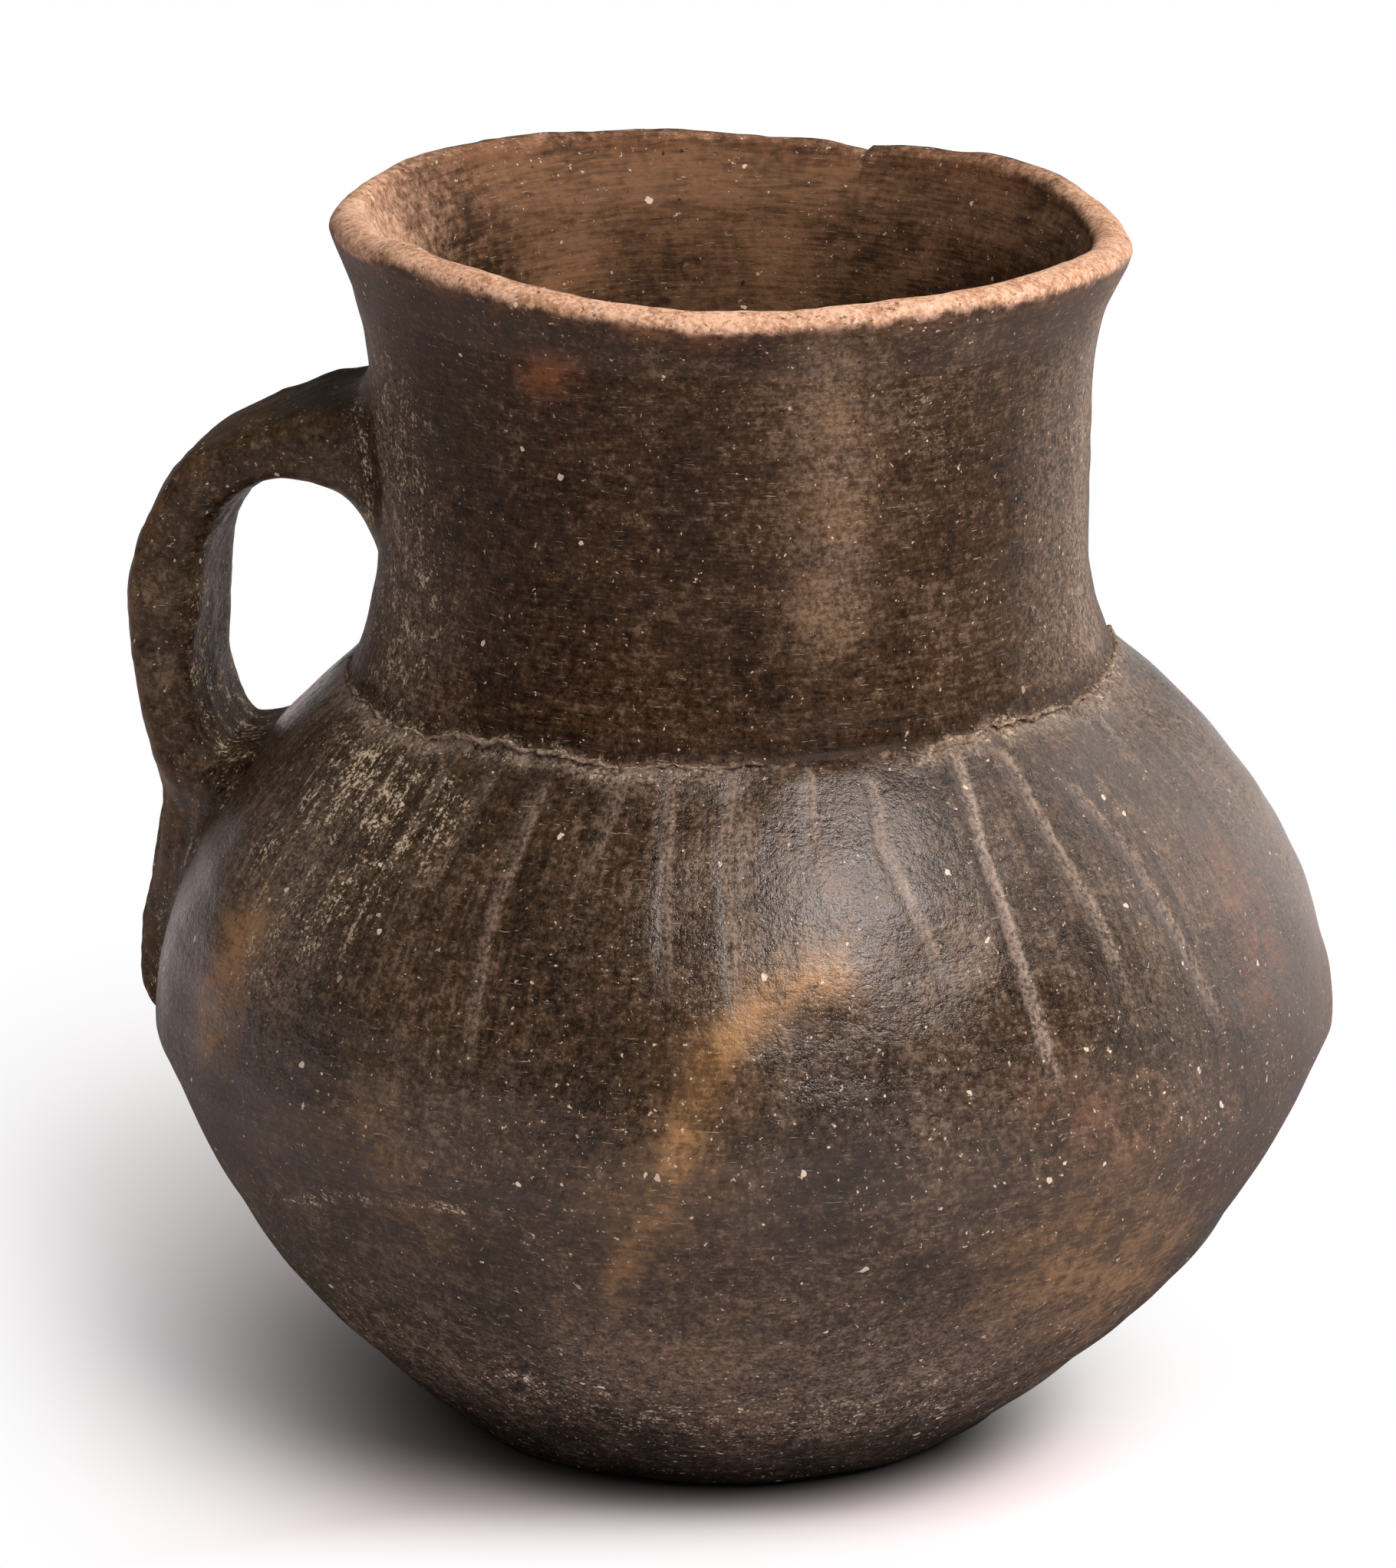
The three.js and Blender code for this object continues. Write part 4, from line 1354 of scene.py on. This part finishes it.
root_narrowed = mix_of(ROOT_WIDTH, STRAP_WIDTH, ROOT_NARROWING)
tail_tip = (*on_wall(TAIL_END_HEIGHT, TAIL_THICKNESS / 2), *on_wall(TAIL_END_HEIGHT, -WALL_BITE))
stations = np.array([
    (*on_wall(TOP_HEIGHT, -WALL_BITE), *under_root(2, -WALL_BITE), ROOT_WIDTH),
    (*arch_outer(ROOT_SHARES[0] * ARCH_START), *under_root(1, ROOT_FILLET / 2), ROOT_WIDTH),
    (*arch_outer(ROOT_SHARES[1] * ARCH_START), *under_root(0, ROOT_CEILING * ROOT_FILLET), root_narrowed),
    *[arch(t) for t in ARCH_SHARES],
    *[leg(t) for t in LEG_SHARES],
    *[smear(t) for t in TAIL_SHARES],
    (*tail_tip, TAIL_END_WIDTH / 2),
])
ROOT_END = 3
STRAP_END = 10
TAIL_WAIST = 12
TAIL_END = len(stations) - 1
print("stations:", len(stations))

# %% a smooth line through the stations


def through(points, at):
    """A Catmull-Rom curve through the points, read at places counted in points."""
    last = len(points) - 1
    k = np.clip(np.floor(at).astype(int), 0, last - 1)
    t = (at - k)[:, None]
    a = points[k]
    b = points[k + 1]
    pull_a = (b - points[np.maximum(k - 1, 0)]) / 2
    pull_b = (points[np.minimum(k + 2, last)] - a) / 2
    cube = 2 * a - 2 * b + pull_a + pull_b
    square = 3 * b - 3 * a - 2 * pull_a - pull_b
    return cube * t**3 + square * t**2 + pull_a * t + a


HANDLE_STEP = 0.45
READINGS = 4000
reading = np.linspace(0, TAIL_END, READINGS)
read = through(stations, reading)
middle = (read[:, 0:2] + read[:, 2:4]) / 2
length = np.concatenate([[0], np.cumsum(np.linalg.norm(np.diff(middle, axis=0), axis=1))])
places = [np.zeros(1)]
cut = [0]
for first, last_station in ((0, ROOT_END), (ROOT_END, STRAP_END), (STRAP_END, TAIL_END)):
    span = np.interp([first, last_station], reading, length)
    steps = int(round((span[1] - span[0]) / HANDLE_STEP))
    even = np.interp(np.linspace(span[0], span[1], steps + 1), length, reading)
    places.append(even[1:])
    cut.append(cut[-1] + steps)
places = np.concatenate(places)
lines = through(stations, places)
along_path = np.interp(places, reading, length)
print("handle length:", round(float(length[-1]), 1), "mm in", len(places), "rows")

# %% the section, a rounded rectangle with evenly spaced points
SECTION_POINTS = 120
SECTION_READINGS = 6001
SQUARENESS = 0.5


def squared(wave):
    """A wave between -1 and 1, filled out towards both ends: its sign times |wave|^SQUARENESS."""
    return np.sign(wave) * np.abs(wave) ** SQUARENESS


full_turn = np.linspace(0, 2 * math.pi, SECTION_READINGS)
section_in = squared(np.cos(full_turn))
section_over = squared(np.sin(full_turn))
edge = np.hypot(np.diff(section_in * STRAP_THICKNESS / 2), np.diff(section_over * STRAP_WIDTH / 2))
around = np.concatenate([[0], np.cumsum(edge)])
even = np.linspace(0, around[-1], SECTION_POINTS, endpoint=False)
depthwise = np.interp(even, around, section_in)
widthwise = np.interp(even, around, section_over)
print("round the strap:", round(float(around[-1]), 1), "mm")

# %% the handle's grid
HANDLE_OUT = direction(HANDLE_AZIMUTH)
part_out = (1 + depthwise) / 2
reach_line = mix_of(lines[:, 2:3], lines[:, 0:1], part_out)
rise_line = mix_of(lines[:, 3:4], lines[:, 1:2], part_out)
across_line = lines[:, 4:5] / 2 * widthwise
wall_radius = wall_at(rise_line)
at_root = 1 - smooth(places, ROOT_END - 1, ROOT_END + 1)[:, None]
at_tail = smooth(places, STRAP_END, TAIL_WAIST)[:, None] * (1 - part_out)
wrap = wall_radius - np.sqrt(wall_radius**2 - across_line**2)
reach_line = reach_line - (at_root + at_tail) * wrap
strap = np.stack([
    HANDLE_OUT[0] * reach_line - HANDLE_OUT[1] * across_line,
    HANDLE_OUT[1] * reach_line + HANDLE_OUT[0] * across_line,
    rise_line,
], axis=-1)


def wall_under(place):
    """How far each point is outside the wall, and the wall's outward direction there."""
    drift, lift = leaning(place[..., 0], place[..., 1], place[..., 2])
    x = place[..., 0] - drift
    y = place[..., 1]
    z = place[..., 2] - lift
    radius = np.hypot(x, y)
    line_slope = np.gradient(outside_line[:, 0], outside_line[:, 1])
    lean = np.interp(z, outside_line[:, 1], line_slope)
    steep = np.sqrt(1 + lean**2)
    distance = (radius - wall_at(z)) / steep - swelling(place, SWELLS)
    return distance, np.stack([x / radius, y / radius, -lean], axis=-1) / steep[..., None]


print("strap grid:", strap.shape[0], "rows by", strap.shape[1], "columns")

# %% its skirt
SIDE_BLEND = 8.0
INNER_BLEND = 6.5
BLEND_DEPTH = 2.2
SKIRT_SINK = 0.4
TAIL_SIDE_TOP = 0.95
TAIL_SIDE_FOOT = -0.3
TAIL_SPREAD = 8.0
TAIL_BITE = 2.2
TAIL_ROWS = (TAIL_WAIST - 0.9, TAIL_WAIST + 0.2)
LOOP_ROWS = (ROOT_END + 1, ROOT_END + 3)
INNER_FACE = (0.2, 0.9)
SINKING = (0.6, 1)
TOWARDS_WALL = (-0.6, -0.1)
SETTLED = (0.45, 0.9)
THINNEST = 0.5
SETTLING_ROUNDS = 4


def profile_at(turn, width):
    """The soft corner between two faces: how far it is off the first and off the second.

    It's a parabola that leaves the first face at turn 0, a width away from the second, and
    runs out on the second at turn 1, a width away from the first."""
    gap = width * (2 * turn - 1)
    lesser = (width - np.abs(gap)) ** 2 / (4 * width)
    return np.where(gap < 0, lesser, lesser + gap), np.where(gap < 0, lesser - gap, lesser)


strap_normal = -outward(strap)
off_wall, wall_way = wall_under(strap)
facing = np.sum(strap_normal * wall_way, axis=-1)
aside = strap_normal - facing[..., None] * wall_way
tail_rows = smooth(places, *TAIL_ROWS)[:, None]
loop_rows = smooth(places, *LOOP_ROWS)[:, None]
in_loop = loop_rows * smooth(-depthwise, *INNER_FACE)[None, :]

# Off the wall, the corner follows from how near the wall each point is
width = mix_of(SIDE_BLEND, INNER_BLEND, in_loop)
turn = share(width - off_wall, 0, width + BLEND_DEPTH)
off_strap, new_off_wall = profile_at(turn, width)
wanted = np.where(turn > 0, new_off_wall - SKIRT_SINK * smooth(turn, *SINKING), off_wall)
hold = smooth(facing, *TOWARDS_WALL) * (turn > 0)
spread = hold * off_strap

# Along the tail, it follows from the place in the section: from the top down and out to the wall
outermost = np.maximum(off_wall[:, np.argmax(depthwise)][:, None], THINNEST)
tail_turn = share(TAIL_SIDE_TOP - depthwise, 0, TAIL_SIDE_TOP - TAIL_SIDE_FOOT)[None, :]
tail_off_strap, tail_off_wall = profile_at(tail_turn, outermost)
tail_wanted = tail_off_wall - SKIRT_SINK * smooth(tail_turn, *SINKING)
tail_wanted = tail_wanted - TAIL_BITE * share(-depthwise, -TAIL_SIDE_FOOT, 1)[None, :]
tail_wanted = np.where(tail_turn > 0, tail_wanted, off_wall)
wanted = mix_of(wanted, tail_wanted, tail_rows)
spread = mix_of(spread, TAIL_SPREAD * tail_off_strap / outermost, tail_rows)
hold = mix_of(hold, 1.0, tail_rows)
settled = mix_of(smooth(turn, *SETTLED), smooth(tail_turn, *SETTLED), tail_rows) * hold

strap = strap + spread[..., None] * aside
for _ in range(SETTLING_ROUNDS):
    now, way = wall_under(strap)
    strap = strap - (hold * (now - wanted))[..., None] * way
print("the skirt spreads", round(float(spread.max()), 1), "mm")

# %% its dents
DENTS = [(0.26, 24.0, 51), (0.11, 8.0, 52), (0.03, 2.5, 53)]
CLEAR_OF_WALL = (-0.5, 7.0)
clear = share(off_wall, *CLEAR_OF_WALL)
dents = swelling(strap, DENTS)
strap = strap - outward(strap) * (dents * clear)[..., None]
strap_normal = -outward(strap)
strap_normal = mix_of(strap_normal, way, settled[..., None])
strap_normal /= np.linalg.norm(strap_normal, axis=2, keepdims=True)
print("dents up to", round(float(np.abs(dents).max()), 2), "mm")

# %% the handle's inks
ON_TOP = (0.3, 0.9)
ON_INNER_FACE = (0.7, 0.95)
ON_SIDE = (0.5, 0.95)
HANDLE_DUST = 0.55
DUST_OFF_WALL = (0.0, 1.5)
DUST_UP_TO = (0.5, 7.0)
CAMERA_SIDE = (-0.3, 0.5)
INNER_FACE_LIGHT = 0.35
INNER_FACE_LIGHT_OFF_WALL = (1.0, 4.0)
HANDLE_EMBER = 0.15
HANDLE_RUST = 0.3
RUST_FROM = (0.15, 0.4)
RUST_TO = (0.5, 0.8)
HANDLE_EDGE_SHADE = 0.7
CORNER_AT = -0.6
CORNER_WIDTH = 0.3
EDGE_SHADE_EVEN = 0.7
EDGE_SHADE_CLOUDS = [(0.3, 9.0, 54)]
HANDLE_FLECK = 0.5
flat = np.ones(strap.shape[:2])
on_top = smooth(depthwise, *ON_TOP) * flat
inner_face = smooth(-depthwise, *ON_INNER_FACE) * flat
camera_side = smooth(widthwise, *CAMERA_SIDE) * flat
along_share = (along_path / along_path[-1])[:, None]
near_wall = (1 - share(off_wall, *DUST_UP_TO)) * smooth(off_wall, *DUST_OFF_WALL)
# Dust near the wall on the near side; on the loop's inner face the paler colour is painted light, as if the
# panel on the right lit that face.
handle_dust_and_light = strongest(
    HANDLE_DUST * near_wall * camera_side,
    INNER_FACE_LIGHT * inner_face * smooth(off_wall, *INNER_FACE_LIGHT_OFF_WALL),
)
handle_ember = HANDLE_EMBER * on_top
handle_rust = HANDLE_RUST * on_top * smooth(along_share, *RUST_FROM) * (1 - smooth(along_share, *RUST_TO))
# A painted shade runs along the strap's inner front edge, as the shade in a groove there.
on_corner = faded(depthwise - CORNER_AT, CORNER_WIDTH) * smooth(widthwise, *ON_SIDE)
ring_rows = smooth(places, ROOT_END, ROOT_END + 1) * (1 - smooth(places, STRAP_END, TAIL_WAIST))
edge_shade_there = HANDLE_EDGE_SHADE * on_corner[None, :] * ring_rows[:, None]
handle_edge_shade = edge_shade_there * (EDGE_SHADE_EVEN + swelling(strap, EDGE_SHADE_CLOUDS))
handle_fire_and_shade = np.stack([handle_ember, handle_edge_shade, handle_rust], axis=-1)
handle_wear_and_light = np.stack([handle_dust_and_light, 0 * flat, 0 * flat], axis=-1)
handle_grit = np.stack([HANDLE_FLECK * flat, 0 * flat, 0 * flat], axis=-1)
print("dust on the strap up to", round(float(handle_dust_and_light.max()), 2))

# %% three pieces of one strap


def strap_piece(node, first, last_row):
    """The rows from first to last, closed at both ends by a fan to a centre point."""
    rows = slice(first, last_row + 1)
    ends = strap[[first, last_row]].mean(axis=1)
    way = ends[1] - strap[last_row - 1].mean(axis=0)
    back = ends[0] - strap[first + 1].mean(axis=0)
    end_normals = np.array([back / np.linalg.norm(back), way / np.linalg.norm(way)])
    layers = (strap, strap_normal, handle_fire_and_shade, handle_wear_and_light, handle_grit)
    grids = [layer[rows] for layer in layers]
    capped_piece(node, grids, ends, end_normals, True, handle_clay)


strap_piece("handle_root", cut[0], cut[1])
strap_piece("handle_strap", cut[1], cut[2])
strap_piece("handle_tail", cut[2], cut[3])

# %% [markdown]
# ## The table it stands on
#
# The photograph has a pale table that runs off into white. A big sheet does it: inside an oval
# round the jug and its shadow it's matt and takes the shadow, and outside the oval the camera
# sees plain white. The jug gets no extra light from that. Close round the foot a painted shade
# darkens the sheet, standing in for the shade where hardly any light gets in, and a wider painted
# shade that only reflections see keeps the underside of the belly from mirroring a bright table.

# %% floor
FLOOR_HALF = 4.0
SHADOW_CENTRE = (0.003, -0.05, 0.0)
SHADOW_TURN = math.radians(113.5)
SHADOW_REACH = (0.166, 0.06, 1.0)
FADE = (0.56, 1.6)
FRONT_FADE = (-0.041, -0.068)
CONTACT_SHADE = (0.033, 0.052, 0.95, 0.0)
MIRRORED_SHADE = (0.06, 0.15, 0.85, 0.0)
MIRRORED_WHITE = (0.1, 0.4)
SHEET = srgb(249, 246, 252)

floor_corners = np.array([(-1, -1, 0), (1, -1, 0), (1, 1, 0), (-1, 1, 0)]) * FLOOR_HALF
floor_mesh = bpy.data.meshes.new("table")
floor_mesh.from_pydata(floor_corners.tolist(), [], [(0, 1, 2, 3)])
floor = placed("table", floor_mesh)
table = Recipe("pale_table")
oval = {"Vector": table.place, "Location": SHADOW_CENTRE, "Scale": SHADOW_REACH}
oval["Rotation"] = (0.0, 0.0, SHADOW_TURN)
in_oval = table.add("ShaderNodeMapping", oval, vector_type="TEXTURE").outputs["Vector"]
table_x, table_y, _ = table.parts(table.place)
rays = table.add("ShaderNodeLightPath").outputs
mirrored = table.most(rays["Is Glossy Ray"], rays["Is Transmission Ray"])
fade = table.between(table.length(in_oval), *FADE)
fade = table.most(fade, table.between(table_y, *FRONT_FADE))
white_seen = table.most(
    table.times(fade, rays["Is Camera Ray"]),
    table.times(mirrored, table.between(table_x, *MIRRORED_WHITE)),
)
# Painted shade: the sheet's colour darkens close round the foot, and a little further out for reflections
# only.
from_foot = table.length(table.place)
contact_shade = table.between(from_foot, *CONTACT_SHADE)
shade = table.between(from_foot, *MIRRORED_SHADE)
contact_shade = table.most(contact_shade, table.times(shade, rays["Is Glossy Ray"]))
table_colour = table.painted(SHEET, (contact_shade, SOOT_AND_SHADE))
matt_floor = table.add("ShaderNodeBsdfDiffuse", {"Color": table_colour})
white_floor = table.add("ShaderNodeEmission", {"Color": (1, 1, 1, 1), "Strength": 1.0})
both = {0: white_seen, 1: matt_floor.outputs[0], 2: white_floor.outputs[0]}
blend = table.add("ShaderNodeMixShader", both)
table.add("ShaderNodeOutputMaterial", {"Surface": blend.outputs[0]})
floor_mesh.materials.append(table.material)
print("table nodes:", len(table.tree.nodes))

# %% [markdown]
# ## The light
#
# One big soft lamp in front, to the right and above, gives the sheen on the shoulder and the
# shadow behind to the left: the sheen sits where the wall sends the lamp's light back to the
# camera, so its direction was worked out from there. A wider panel at the right draws the pale
# rim down that side, and even surroundings keep the shadows open.

# %% lamps and surroundings
AIM = np.array([0.0, 0.0, 0.09])
KEY = {"azimuth_turn": 304.0, "rise": 50.0, "distance": 1.25, "size": 0.75, "power": 21.0}
SIDE_PANEL = {"azimuth_turn": 26.0, "rise": 26.0, "distance": 1.3, "size": 1.3, "power": 11.0}
WARM = (1.0, 0.885, 0.845)
SURROUNDINGS = (1.0, 0.92, 0.84, 1.0)
SURROUNDINGS_LEVEL = 0.15


def softbox(name, azimuth_turn, rise, distance, size, power):
    """A square lamp at an azimuth and an elevation in degrees, turned to face the jug."""
    data = bpy.data.lights.new(name, "AREA")
    data.shape = "SQUARE"
    data.size = size
    data.energy = power
    data.color = WARM
    level_way = direction(azimuth_turn) * math.cos(math.radians(rise))
    lamp = placed(name, data)
    lamp.location = AIM + distance * np.array([*level_way, math.sin(math.radians(rise))])
    lamp.rotation_euler = (math.radians(90 - rise), 0.0, math.radians(azimuth_turn + 90))
    return lamp


softbox("key", **KEY)
softbox("side_panel", **SIDE_PANEL)

world = bpy.data.worlds.new("studio")
world.use_nodes = True
bpy.context.scene.world = world
sky = world.node_tree
sky.nodes["Background"].inputs["Color"].default_value = SURROUNDINGS
sky.nodes["Background"].inputs["Strength"].default_value = SURROUNDINGS_LEVEL
bpy.context.scene.view_settings.view_transform = "Standard"
